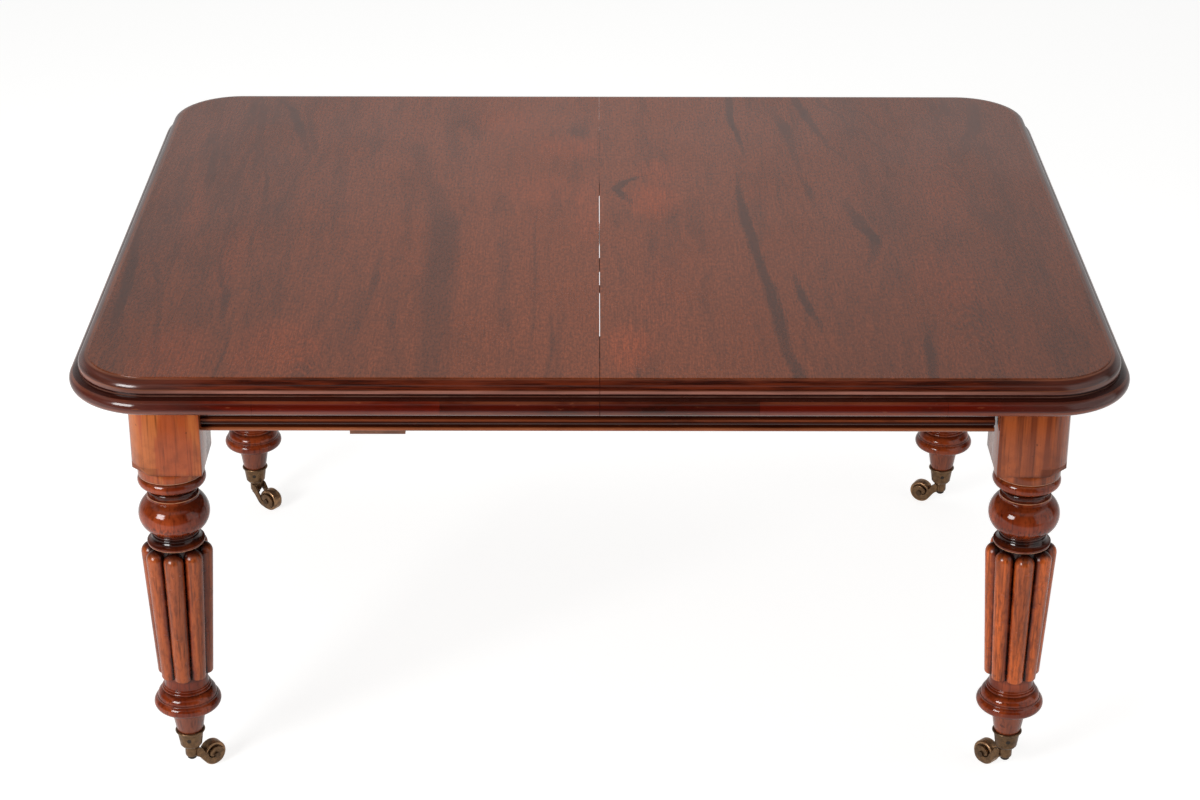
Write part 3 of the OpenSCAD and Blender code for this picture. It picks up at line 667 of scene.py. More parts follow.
def edge_colour(w):
    """The moulded edge of the boards: darker than the top, rubbed through in places, with painted highlights
    on its arrises, a line of painted shade and a painted reflection on its flat face.
    """
    settings = bpy.context.scene.table_moulding
    streaks = w.noise(1.0, (9, 9, 260), detail=4, roughness=0.6)
    colour = w.mix(w.step(streaks, 0.36, 0.66), settings.wood, settings.dark)
    away = w.step(w.absolute(w.x), *TOWARDS_ENDS)
    colour = w.mix(w.times(away, 0.65), colour, EDGE_BROWN)
    # a light line along the foot of the face, painted as wear and highlight, and a dark line over it,
    # painted shade
    foot = (UNDER_TOP + 0.0016, UNDER_TOP + 0.0025)
    over_line = (UNDER_TOP + 0.0046, UNDER_TOP + 0.0056)
    patchy = w.step(w.noise(1.0, (16, 16, 4), detail=5, roughness=0.7), 0.35, 0.65, 0.4, 1.0)
    colour = w.mix(w.times(w.band(w.z, *foot, *over_line), 0.9), colour, settings.dark)
    colour = w.mix(w.times(w.fade(w.z, *foot), patchy), colour, EDGE_WEAR_AND_HIGHLIGHT)
    # arrises under the ovolo and at the quirk, lightened as wear and as a painted highlight that grows
    # towards the ends of the table
    arris = w.band(w.z, ARRIS_Z - 0.0011, ARRIS_Z - 0.0004, ARRIS_Z + 0.0006, ARRIS_Z + 0.0014)
    arris = w.most(arris, w.step(w.z, TABLE_TOP - 0.0016, TABLE_TOP - 0.0009))
    arris = w.times(arris, w.times_plus(away, 0.2, w.step(streaks, 0.35, 0.65, 0.3, 0.12)))
    colour = w.mix(arris, colour, settings.light)
    # the flat face: a painted pinkish-grey reflection, strongest in the middle of the table
    flat = w.band(w.z, *over_line, ARRIS_Z - 0.0010, ARRIS_Z)
    rubbed = w.times(flat, w.step(streaks, 0.35, 0.65, 0.95, 0.6))
    return w.mix(w.times(rubbed, w.times_plus(away, -0.6, 1.0)), colour, FACE_REFLECTION)


def top_polish(name):
    """The polished top: mahogany with its grain from front to back, and a moulded edge."""
    settings = bpy.context.scene.table_top
    w = Wiring(name)
    drift = w.noise(1.0, (5, 2.2, 1), detail=3)
    fibre = w.noise(1.0, (520, 14, 60), detail=3, roughness=0.65)
    pores = w.noise(1.0, (900, 210, 200), detail=2)
    mottle = w.noise(1.0, (300, 105, 60), detail=2, roughness=0.7, shift=(4.0, 1.0, 0))
    x = w.times_plus(drift, GRAIN_DRIFT, w.plus(w.x, -GRAIN_DRIFT / 2))
    ragged = w.times_plus(fibre, GRAIN_RAG, w.plus(x, -GRAIN_RAG / 2))
    dark, bright, arches = streak_mask(w, ragged), flame_mask(w, ragged), arch_mask(w, x)
    # broad bands and the joints between the boards
    bands = w.noise(1.0, (17, 1.1, 3), detail=4, roughness=0.62, distortion=0.25, shift=(3.1, 0.4, 0))
    patches = w.noise(1.0, (38, 7.5, 5), detail=3, roughness=0.6, distortion=0.4, shift=(0.7, 2.4, 0))
    tone = 0.0
    for place, change in BOARD_JOINTS:
        tone = w.times_plus(w.step(w.x, place - 0.0002, place + 0.0002), change, tone)
    tone = w.plus(tone, w.step(bands, 0.36, 0.72, 0.0, 0.5))
    tone = w.times_plus(w.minus(patches, 0.5), 1.3, tone)
    tone = w.most(w.times(dark, w.step(fibre, 0.25, 0.6, 0.72, 1.0)), w.most(tone, 0.0))
    colour = w.mix(tone, settings.wood, settings.streak)
    colour = w.mix(w.times(bright, w.step(fibre, 0.3, 0.7, 0.35, 0.85)), colour, settings.flame)
    colour = w.mix(w.times(arches, 0.35), colour, settings.flame)
    # fine grain: pale and dark dashes
    grain = w.step(fibre, 0.32, 0.68, 0.84, 1.16)
    grain = w.times(grain, w.step(mottle, 0.3, 0.7, 0.72, 1.28))
    grain = w.times(grain, w.step(pores, 0.5, 0.7, 1.05, 0.8))
    # lighter in the middle of the table, darker towards the ends
    grain = w.times(grain, w.step(w.absolute(w.plus(w.x, 0.05)), 0.0, 0.75, 1.2, 0.84))
    grain_colour = w.add("ShaderNodeCombineColor", {0: grain, 1: grain, 2: grain}).outputs[0]
    colour = w.mix(1.0, colour, grain_colour, "MULTIPLY")
    # polish: satin on the face, with a slight unevenness, and glossier below the quirk
    face = w.step(w.z, TABLE_TOP - 0.0006, TABLE_TOP - 0.0003)
    colour = w.mix(face, edge_colour(w), colour)
    smudge = w.noise(1.0, (7, 4, 3), detail=4)
    rough = w.plus(w.step(smudge, 0.3, 0.7, settings.sheen - 0.03, settings.sheen + 0.04),
                   w.step(pores, 0.55, 0.7, 0.0, 0.05))
    rough = w.times_plus(w.minus(1.0, face), 0.17 - settings.sheen, rough)
    normal = w.bump(pores, 0.00004, 0.5)
    return w.finish(Base_Color=colour, Roughness=rough, Specular_IOR_Level=0.5, Normal=normal)


def strip_wear(w, settings, patches, colour, dull):
    """A strip's colour and roughness: a painted reflection and highlight under the nose, wear and a painted
    highlight above it, painted shade where it meets the board, browner towards the ends of the table.
    """
    away = w.step(w.absolute(w.x), *TOWARDS_ENDS)
    colour = w.mix(w.times(away, 0.7), colour, EDGE_BROWN)
    # under the nose: a painted reflection of the floor, with a painted orange highlight towards the
    # right-hand end
    under = w.times(w.fade(w.z, *UNDER_NOSE), w.step(patches, 0.35, 0.6, 0.45, 0.25))
    on_right = w.times(w.step(w.x, 0.28, 0.4), w.step(patches, 0.4, 0.5))
    colour = w.mix(under, colour, w.mix(on_right, NOSE_REFLECTION, NOSE_HIGHLIGHT))
    # above the nose: lightened as wear and as a painted highlight
    worn = w.times(w.step(w.z, *ABOVE_NOSE), w.step(patches, 0.35, 0.6, 0.26, 0.05))
    colour = w.mix(worn, colour, settings.light)
    # painted shade, nearly black, where the strip meets the board
    crevice = w.step(w.z, *CREVICE)
    colour = w.mix(w.times(crevice, 0.95), colour, settings.dark)
    return colour, w.times_plus(crevice, 0.08, dull)


def rail_wear(w, settings, patches, colour, dull):
    """A rail's colour and roughness: a lip lightened by wear and a painted highlight, and painted shade,
    black and glossy, in the hollow over it and under the strip.
    """
    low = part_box("outer_slide_front")[0].z
    # the lip lightened as wear and as a painted highlight
    lip = w.times(w.fade(w.z, low + 0.0052, low + 0.0062), w.step(patches, 0.35, 0.6, 1.0, 0.6))
    colour = w.mix(lip, colour, settings.light)
    # painted shade, black and glossy, in the hollow over the lip, and painted shadow under the strip at the
    # top of the rail
    hollow = w.band(w.z, low + 0.0060, low + 0.0068, low + 0.0155, low + 0.0175)
    hollow = w.most(hollow, w.step(w.z, low + 0.0200, low + 0.0208))
    colour = w.mix(w.times(hollow, 0.95), colour, settings.dark)
    return colour, w.times(dull, w.times_plus(hollow, -0.6, 1.0))


def moulding_polish(name, run, lengths=False, rail=False):
    """Dark glossy mahogany with its grain along X, Y or round the corners."""
    settings = bpy.context.scene.table_moulding
    w = Wiring(name)
    stretch = {"x": (2.5, 130, 130), "y": (130, 2.5, 130)}
    if run == "round":
        ends = w.step(w.absolute(w.y), 0.49, 0.53)
        lengthways = w.noise(1.0, stretch["x"], detail=4, roughness=0.6)
        crossways = w.noise(1.0, stretch["y"], detail=4, roughness=0.6)
        streaks = w.times_plus(ends, w.minus(lengthways, crossways), crossways)
    else:
        streaks = w.noise(1.0, stretch[run], detail=4, roughness=0.6)
    patches = w.noise(1.0, (7, 7, 30), detail=4, roughness=0.6, shift=(1.7, 0, 0))
    tone = w.most(w.step(streaks, 0.46, 0.74, 0.0, 0.75), w.step(patches, 0.5, 0.7, 0.0, 0.7))
    if lengths:
        # the length next to the seam was cut from a darker plank
        near_seam = w.step(w.absolute(w.x), 0.2198, 0.2202, 0.55, 0.0)
        tone = w.math("ADD", tone, w.times(near_seam, w.step(patches, 0.3, 0.5, 0.6, 1.0)), clamp=True)
    tint = RAIL_TINT if rail else STRIP_TINT
    colour = w.mix(tone, [share * c for share, c in zip(tint, settings.wood)], settings.dark)
    dull = w.step(w.noise(1.0, (30, 30, 60), detail=4), 0.3, 0.7, 0.11, 0.2)
    colour, dull = (rail_wear if rail else strip_wear)(w, settings, patches, colour, dull)
    specks = w.step(w.noise(1.0, (60, 60, 300), detail=3), 0.68, 0.74)
    colour = w.mix(w.times(specks, 0.25), colour, settings.light)
    normal = w.bump(streaks, 0.00012, 0.4)
    normal = w.bump(w.noise(1.0, (6, 6, 14), detail=2, shift=(0, 0, 2)), 0.0015, 0.3, normal)
    return w.finish(Base_Color=colour, Roughness=dull, Specular_IOR_Level=0.4, Normal=normal)


# how dark each height of a leg is painted, in millimetres: old polish and painted shade in the hollows, and
# painted shade over the upper half of the ball
HOLLOWS = (
    (118, 0.0), (120, 0.4), (123, 0.1), (137, 0.12), (138.9, 0.7), (140, 0.25), (141.2, 0.7),
    (143, 0.12), (151, 0.2), (152.7, 0.8), (154, 0.2), (157, 0.3), (157.9, 0.85), (158.8, 0.2),
    (160.8, 0.3), (161.6, 0.65), (163, 0.15), (172, 0.1), (178, 0.5), (181, 0.0), (392, 0.0),
    (400, 0.95), (403.5, 0.9), (404.5, 0.0), (407, 0.6), (412, 1.0), (420, 1.0), (427, 0.5), (438, 0.0),
)
HOLLOWS_ABOVE = (
    (452, 0.0), (462, 0.22), (476, 0.45), (480.5, 0.45), (483.6, 0.0), (485, 0.9), (490, 0.8),
    (497, 1.0), (499.5, 0.5), (503, 0.1), (510, 0.1), (514.5, 0.3), (517.0, 0.6), (518.4, 1.0),
    (519.4, 0.0), (532.5, 0.0), (535.5, 0.8), (538.5, 0.0),
)
HEIGHT_SPAN = 800.0
# arrises painted lighter, as rubbed polish and painted highlight: height and radius in millimetres
ARRIS_WEAR_AND_HIGHLIGHT = ((519.3, 48.6), (483.8, 38.0), (404.3, 42.3))
# the reeds: how many, and in millimetres the heights of their ends, and at the lower and upper end how far
# their axis stands from the leg's, their radius, and the depth of the groove between them
REEDS = 8
REED_BOTTOM, REED_TOP = 180.0, 386.0
REED_AT = (28.0, 38.2)
REED_R = (13.4, 14.8)
GROOVE_DEPTH = (7.3, 14.2)
# heights in metres
NECK_TOP = (0.119, 0.121)
BLOCK_FROM = (0.516, 0.5195)
NECK_COLOUR = (0.185, 0.048, 0.026)
# how bright each leg's block is painted: the figure of the wood, and painted light that makes the front-left
# block, nearest the key lamp, the brightest
ORANGE = {"front_left": 0.95, "front_right": 0.3, "back_left": 0.5, "back_right": 0.4}


def block_colour(w, place, seed, blotches):
    """A leg's block and shoulder: upright stripes of brown and orange."""
    settings, orange = bpy.context.scene.table_legs, ORANGE[place]
    stretch, distortion = ((34, 34, 6), 0.7) if place.endswith("left") else ((48, 48, 1.6), 0.3)
    stripes = w.noise(1.0, stretch, detail=3, roughness=0.5, distortion=distortion, shift=(0, seed, 1))
    fine = w.noise(1.0, (190, 190, 7), detail=3, roughness=0.6, shift=(1, seed, 1))
    stripes = w.times_plus(w.minus(fine, 0.5), 0.35, stripes)
    brown = w.mix(orange, settings.brown, settings.wood)
    bright = w.mix(orange, settings.wood, settings.orange)
    colour = w.mix(w.step(stripes, 0.4, 0.6), brown, bright)
    low_dark = w.times(w.fade(w.z, 0.545, 0.64), w.step(blotches, 0.4, 0.65, 0.1, 0.45))
    return w.mix(low_dark, colour, settings.brown)


def leg_polish(place):
    """A leg's polish: upright grain, old polish and painted shade in the hollows and between the reeds, and
    arrises lightened by wear and painted highlight.
    """
    settings = bpy.context.scene.table_legs
    low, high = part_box("leg_" + place)
    axis = (low + high) / 2
    w = Wiring("leg_polish_" + place)
    seed = 3.7 * PLACES.index(place)
    height = w.over(w.z, HEIGHT_SPAN * MM)
    dark = w.most(*[w.channels(w.ramp(height, [(z / HEIGHT_SPAN, level) for z, level in rows]))[0]
                    for rows in (HOLLOWS, HOLLOWS_ABOVE)])
    dx, dy = w.minus(w.x, axis.x), w.minus(w.y, axis.y)
    across = w.times_plus(dx, math.copysign(1.0, axis.x), w.times(dy, math.copysign(1.0, axis.y)))
    radius = w.math("SQRT", w.plus(w.times(dx, dx), w.times(dy, dy)))
    # depth between the reeds: 0 on their crowns, 1 at the bottom of the groove
    up = w.minus(w.z, REED_BOTTOM * MM)
    crown, deepest = [w.times_plus(up, (at_top - at_foot) / (REED_TOP - REED_BOTTOM), at_foot * MM)
                      for at_foot, at_top in (map(sum, zip(REED_AT, REED_R)), GROOVE_DEPTH)]
    reeded = w.band(w.z, 0.1795, 0.1805, 0.403, 0.404)
    blotches = w.noise(55.0, detail=4, roughness=0.6, shift=(seed, 0, 0))
    fibre = w.noise(1.0, (300, 300, 9), detail=4, roughness=0.6, shift=(seed, seed, 0))
    depth = w.plus(w.over(w.minus(crown, radius), deepest), w.step(blotches, 0.3, 0.7, -0.08, 0.12))
    flank = w.times(w.step(depth, 0.2, 0.8), reeded)
    # painted shade at the bottom of the grooves between the reeds
    dark = w.most(dark, w.times(w.step(depth, 0.58, 0.95), reeded))
    dark = w.times(dark, w.step(blotches, 0.2, 0.6, 0.85, 1.0))
    # plain wood of the reeds, with darker bands
    bands = w.noise(1.0, (70, 70, 3.0), detail=4, roughness=0.6, distortion=0.3, shift=(seed, 0, seed))
    if place.endswith("right"):
        crown_colour = [share * c for share, c in zip((1.45, 1.05, 0.75), settings.orange)]
    else:
        crown_colour = w.mix(0.75, settings.orange, settings.wood)
    colour = w.mix(w.step(bands, 0.42, 0.68, 0.0, 0.6), crown_colour, settings.brown)
    speckle = w.noise(1.0, (190, 190, 60), detail=3, roughness=0.65, shift=(seed, 2, 1))
    colour = w.mix(w.step(speckle, 0.42, 0.7, 0.0, 0.6), colour, settings.brown)
    # the reeds' flanks painted deeper red towards the grooves, as painted shade
    colour = w.mix(w.times(flank, 0.85), colour, settings.turned)
    colour = w.mix(w.times(w.fade(w.z, *NECK_TOP), 0.75), colour, NECK_COLOUR)
    # turned parts are darker and redder
    turned_parts = w.most(w.band(w.z, 0.403, 0.405, 0.513, 0.5195), w.band(w.z, *NECK_TOP, 0.1785, 0.181))
    cloud = w.noise(1.0, (26, 26, 14), detail=3, shift=(0, seed, 0))
    red = w.mix(w.step(cloud, 0.38, 0.62), settings.turned, settings.turned_light)
    colour = w.mix(w.times(turned_parts, 0.9), colour, red)
    # open grain on the lower half of the ball
    belly = w.band(w.z, 0.424, 0.432, 0.444, 0.451)
    dashes = w.step(w.noise(1.0, (330, 330, 80), detail=2, shift=(seed, 5, 0)), 0.5, 0.62)
    colour = w.mix(w.times(belly, w.times(dashes, 0.55)), colour, settings.recess)
    colour = w.mix(w.step(w.z, *BLOCK_FROM), colour, block_colour(w, place, seed, blotches))
    colour = w.mix(w.step(fibre, 0.47, 0.72, 0.0, 0.55), colour, settings.recess)
    # old polish and painted shade in the hollows and grooves
    colour = w.mix(dark, colour, settings.recess)
    # darker and rougher on the slope at the foot of the block's outer corner
    foot = w.band(w.z, 0.5345, 0.5355, 0.5480, 0.5495)
    foot = w.times(foot, w.times(w.step(radius, 0.0515, 0.0535), w.step(across, 0.060, 0.066)))
    colour = w.mix(w.times(foot, 0.3), colour, settings.recess)
    # arrises lightened as rubbed polish and as a painted highlight
    worn = []
    for z, r in ARRIS_WEAR_AND_HIGHLIGHT:
        near = w.fade(w.absolute(w.minus(w.z, z * MM)), 0.0005, 0.0011)
        worn.append(w.times(near, w.step(radius, (r - 1.3) * MM, (r - 0.8) * MM)))
    colour = w.mix(w.times(w.most(*worn), w.step(blotches, 0.3, 0.6, 0.45, 0.9)), colour, settings.worn)
    knocks = w.step(w.noise(90.0, detail=2, shift=(0, 0, seed)), 0.72, 0.76)
    colour = w.mix(w.times(knocks, 0.6), colour, settings.recess)
    rough = w.times_plus(dark, 0.03, w.step(blotches, 0.3, 0.7, 0.1, 0.2))
    rough = w.times_plus(reeded, 0.08, rough)
    rough = w.times(rough, w.times_plus(turned_parts, -0.4, 1.0))
    rough = w.times_plus(foot, 0.5, rough)
    normal = w.bump(fibre, 0.00015, 0.5)
    normal = w.bump(w.noise(18.0, detail=2, shift=(seed, 0, 3)), 0.0010, 0.3, normal)
    return w.finish(Base_Color=colour, Roughness=rough, Specular_IOR_Level=0.4, Normal=normal)


def slide_wood(name, run):
    """Waxed wood of the frame, with its grain along X or Y."""
    w = Wiring(name)
    stretch = {"x": (3, 150, 150), "y": (150, 3, 150)}[run]
    fibre = w.noise(1.0, stretch, detail=4, roughness=0.6)
    broad = w.noise(1.0, tuple(s / 8 for s in stretch), detail=3, shift=(2, 2, 2))
    colour = w.mix(w.step(broad, 0.35, 0.68), (0.215, 0.088, 0.045), (0.11, 0.042, 0.024))
    colour = w.mix(w.step(fibre, 0.5, 0.75, 0.0, 0.5), colour, (0.05, 0.02, 0.012))
    rough = w.step(fibre, 0.3, 0.7, 0.42, 0.56)
    return w.finish(Base_Color=colour, Roughness=rough, Normal=w.bump(fibre, 0.0003, 0.5))


def aged_brass(name, bronze=0.0, light=1.0):
    """Brass gone olive brown, brighter where it is rubbed. Light scales its colour."""
    settings = bpy.context.scene.table_brass
    w = Wiring(name)
    cloud = w.noise(140.0, detail=5, roughness=0.62)
    fine = w.noise(900.0, detail=3)
    tarnish = w.math("ADD", w.step(cloud, 0.25, 0.75, 0.1, 0.85), bronze, clamp=True)
    colour = w.mix(tarnish, [light * c for c in settings.metal], [light * c for c in settings.tarnish])
    rough = w.step(cloud, 0.3, 0.7, 0.25, 0.42)
    normal = w.bump(fine, 0.00012, 0.6)
    normal = w.bump(cloud, 0.0006, 0.4, normal)
    return w.finish(Base_Color=colour, Metallic=0.8, Roughness=rough, Normal=normal)


def old_iron(name):
    """Dark iron with a little rust."""
    w = Wiring(name)
    cloud = w.noise(120.0, detail=5, roughness=0.65)
    colour = w.mix(w.step(cloud, 0.5, 0.72), (0.055, 0.044, 0.036), (0.10, 0.046, 0.026))
    rough = w.step(cloud, 0.3, 0.7, 0.32, 0.6)
    return w.finish(Base_Color=colour, Metallic=0.9, Roughness=rough, Normal=w.bump(cloud, 0.0002, 0.5))


# ------------------------------------------------------------------ pieces


def level_edge(edge, z):
    """Whether an edge lies at height z."""
    return all(abs(v.co.z - z) < NEAR for v in edge.verts)


def over_side(edge, z):
    """Whether a face beside an edge at height z is a side that reaches well below it."""
    return any(f.normal.z < 0.5 and f.calc_center_median().z < z - 0.005 for f in edge.link_faces)


def rim_edge(edge, z):
    """Whether an edge goes round a flat face at height z."""
    return level_edge(edge, z) and len({round(f.normal.z) for f in edge.link_faces}) > 1


def flat_face(face, z):
    """Whether a face lies flat at height z."""
    return abs(face.normal.z) > 0.99 and abs(face.calc_center_median().z - z) < NEAR


class TABLE_OT_boards(bpy.types.Operator):
    """Make the two halves of the top, with their quirked and rounded edge"""

    bl_idname = "table.boards"
    bl_label = "Boards of the top"

    def execute(self, context):
        settings = context.scene.table_top
        left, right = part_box("top_left"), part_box("top_right")
        low, high = left[0].copy(), right[1].copy()
        corner = STRIP_CORNER_R - (low.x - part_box("rim_end_left")[0].x)
        shelf_z = high.z - QUIRK_H
        slab = block("slab", low, (high.x, high.y, shelf_z))
        with editing(slab) as e:
            e.pick("edges", lambda k: abs(k.verts[0].co.z - k.verts[1].co.z) > 0.01)
            e.bevel(corner, 28)
            e.pick("faces", lambda f: f.normal.z > 0.9)
            bpy.ops.mesh.inset(thickness=OVOLO_R + SHELF_W, use_even_offset=True)
            bpy.ops.mesh.extrude_region_move(TRANSFORM_OT_translate={"value": (0, 0, QUIRK_H)})
            # the outer line of the shelf becomes the ovolo
            e.pick("edges", lambda k: level_edge(k, shelf_z) and over_side(k, shelf_z))
            e.bevel(OVOLO_R, 9)
            for flat_z, arris in ((high.z, 0.0004), (low.z, 0.0006)):
                e.pick("edges", lambda k: rim_edge(k, flat_z))
                e.bevel(arris, 2)
            # a margin all round keeps the shading of the two flat faces flat
            for flat_z in (high.z, low.z):
                e.pick("faces", lambda f: flat_face(f, flat_z))
                bpy.ops.mesh.inset(thickness=0.002, use_even_offset=True)
        half_gap = right[0].x
        for side, sign in (("left", -1), ("right", 1)):
            board = copy_of(slab, "board_" + side, Matrix.Identity(4))
            with editing(board) as e:
                e.pick_all()
                bpy.ops.mesh.bisect(plane_co=(sign * half_gap, 0, 0), plane_no=(-sign, 0, 0),
                                    use_fill=True, clear_outer=True)
                seam_x = sign * half_gap
                e.pick("edges", lambda k: abs(k.verts[0].co.y - k.verts[1].co.y) > 0.5
                       and all(abs(v.co.x - seam_x) < NEAR for v in k.verts))
                bpy.ops.mesh.subdivide(number_cuts=SEAM_CUTS)
                mesh = bmesh.from_edit_mesh(board.data)
                for v in [v for v in mesh.verts if abs(v.co.x - seam_x) < NEAR]:
                    v.co.x = sign * seam_edge(v.co.y, settings)
                bmesh.update_edit_mesh(board.data)
            smooth(board, 30)
            wear(board, top_polish("top_polish_" + side), side + "_end", "mahogany_top", "top_" + side)
        bpy.data.objects.remove(slab)
        return {"FINISHED"}


def seam_edge(y, settings):
    """How far a board's edge stands from the middle of the table at y."""
    opening, ease = 0.0, 0.006
    for low, high, amount in GAPES:
        inside = min((y - low) / ease, (high - y) / ease, 1.0)
        opening = max(opening, amount * max(inside, 0.0))
    ripple = 0.5 + 0.5 * math.sin(y * 61.0) * math.sin(y * 23.0 + 1.0)
    closed = settings.closed_joint * (1 + 0.4 * ripple)
    return (closed + (settings.open_joint - closed) * opening) / 2


class TABLE_OT_strips(bpy.types.Operator):
    """Finish the half-round strips under the edge of the top"""

    bl_idname = "table.strips"
    bl_label = "Half-round strips"

    def execute(self, context):
        along = moulding_polish("strip_polish_sides", "x", lengths=True)
        around = moulding_polish("strip_polish_ends", "round")
        for side in SIDES:
            paint("rim_end_" + side, around)
            for face in FACES:
                paint(f"rim_{face}_{side}", along)
        return {"FINISHED"}


def leg_section():
    """Section of the turned part of a leg, from its foot up, in millimetres."""
    neck = [(0, 50.2), (14.8, 50.2), (19.0, 79), (20.4, 79), (27.2, 119.8)]
    flange = arc(40.3, 130, 10.2, -89, 56, 14) + [(45.6, 139.0), (45.6, 141)] + arc(32, 141, 12.5, 0, 67, 9)
    rings = arc(34.9, 155.3, 2.5, -70, 75, 6) + arc(33.4, 159.3, 2.0, -50, 80, 6)
    core = [(33.6, 162.2), (32.6, 166.5), (32.4, 180.2), (28.5, 180.4), (36, 401), (36, 404), (42.3, 404)]
    cove = [(42.3, 407.6)] + arc(43.3, 417.3, 9.7, 264, 189, 7)
    beads = arc(33, 416.8, 2.4, -50, 75, 5) + arc(32.5, 421.2, 2, -60, 70, 5)
    ball = arc(20.3, 453, 32, -66, 56, 30) + [(38, 480.2), (38, 484), (34, 484), (34, 488.9)]
    collar = arc(34, 491.5, 2.6, -80, 80, 6) + [(34, 494.2), (34, 499), (37, 499)]
    cushion = arc(39.5, 509.5, 10.5, -85, 54, 12) + [(45.6, 518.0), (45.6, 519), (48.6, 519)]
    shoulder = [(48.6, 536.3), (44, 536.3), (44, 545), (0, 545)]
    return neck + flange + rings + core + cove + beads + ball + collar + cushion + shoulder


def reed_section(length):
    """Section of one reed about its own axis, its round end up, in millimetres."""
    thin, thick = REED_R
    foot = [(0, -length), (11.2, -length), (12.7, -length + 0.7), (thin, -length + 2.4)]
    side = [(thin + (thick - thin) * t, -length * (1 - t)) for t in (0.25, 0.5, 0.75)]
    return foot + side + arc(0, 0, thick, 0, 90, 10)


class TABLE_OT_legs(bpy.types.Operator):
    """Turn the four legs and cut their reeds"""

    bl_idname = "table.legs"
    bl_label = "Legs"

    def execute(self, context):
        settings = context.scene.table_legs
        low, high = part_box("leg_front_left")
        half, corner_r, foot_z = (high.x - low.x) / 2, 0.036, 0.536
        body = turned("leg", eased(leg_section(), settings.arris / MM), 72)
        lean = math.atan2(REED_AT[1] - REED_AT[0], REED_TOP - REED_BOTTOM)
        reed = turned("reed", reed_section((REED_TOP - REED_BOTTOM) / math.cos(lean)), 28)
        reeds = []
        for k in range(REEDS):
            leaning = Matrix.Translation((REED_AT[1] * MM, 0, REED_TOP * MM)) @ Matrix.Rotation(lean, 4, "Y")
            reeds.append(copy_of(reed, "reed_copy", Matrix.Rotation(k * math.tau / REEDS, 4, "Z") @ leaning))
        bpy.data.objects.remove(reed)
        head = block("head", (-half, -half, foot_z), (half, half, UNDER_TOP))
        with editing(head) as e:
            e.pick("edges", lambda k: all(v.co.x < 0 and v.co.y < 0 for v in k.verts))
            e.bevel(corner_r, 14)
            # the foot of the outer corner slopes in to the turned part
            reach, at_foot, rise = corner_r + (half - corner_r) * math.sqrt(2), 0.0535, 0.013
            out = Vector((-1, -1, 0)).normalized()
            down = Vector((out.x * rise, out.y * rise, -(reach - at_foot))).normalized()
            e.pick_all()
            bpy.ops.mesh.bisect(plane_co=out * at_foot + Vector((0, 0, foot_z)), plane_no=down,
                                use_fill=True, clear_outer=True)
            e.pick_sharp(0.5)
            e.bevel(0.0009, 3)
        united(body, *reeds, head)
        with editing(body) as e:
            e.pick_all()
            bpy.ops.mesh.remove_doubles(threshold=2e-6)
        for place in PLACES:
            low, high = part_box("leg_" + place)
            axis = (low + high) / 2
            flip = Matrix.Diagonal((1 if axis.x < 0 else -1, 1 if axis.y < 0 else -1, 1, 1))
            leg = copy_of(body, "turned_leg_" + place, Matrix.Translation((axis.x, axis.y, 0)) @ flip)
            smooth(leg, 38)
            wear(leg, leg_polish(place), end_body(place), "mahogany_leg", "leg_" + place)
        bpy.data.objects.remove(body)
        return {"FINISHED"}


class TABLE_OT_frame(bpy.types.Operator):
    """Finish the rails, slides, battens and blocks under the top"""

    bl_idname = "table.frame"
    bl_label = "Slides and rails"

    def execute(self, context):
        rail = moulding_polish("rail_polish", "x", rail=True)
        end_rail = moulding_polish("end_rail_polish", "y", rail=True)
        lengthways, crossways = slide_wood("slide_wood", "x"), slide_wood("batten_wood", "y")
        for face in FACES:
            paint("outer_slide_" + face, rail)
            paint("middle_slide_" + face, lengthways)
            paint("inner_slide_" + face, lengthways)
        for side in SIDES:
            paint("end_rail_" + side, end_rail)
            paint("glue_blocks_" + side, crossways)
        for node in ("outer_batten", "middle_batten", "nut_rail"):
            paint(node, crossways)
        paint("seam_pegs", lengthways)
        return {"FINISHED"}


def screw_thread(name, first, last, root, radius, pitch):
    """A square thread about X from first to last, left-handed, so that winding clockwise draws it out."""
    land, ease, sunk = pitch / 2, 0.0004, 0.0006
    outline = [(0, root - sunk), (ease, radius - 0.0003), (2 * ease, radius), (land - 2 * ease, radius),
               (land - ease, radius - 0.0003), (land, root - sunk)]
    thread = chain(name, [Vector((first + x, 0, r)) for x, r in outline])
    with editing(thread) as e:
        e.pick_all()
        bpy.ops.mesh.edge_face_add()
        bpy.ops.mesh.delete(type="ONLY_FACE")
    apply_modifier(thread, "SCREW", axis="X", angle=-math.tau, screw_offset=pitch,
                   iterations=int((last - first - land) / pitch), steps=28, render_steps=28,
                   use_merge_vertices=True)
    with editing(thread) as e:
        e.pick("edges", lambda k: len(k.link_faces) == 1)
        bpy.ops.mesh.edge_face_add()
        e.face_out()
    return thread


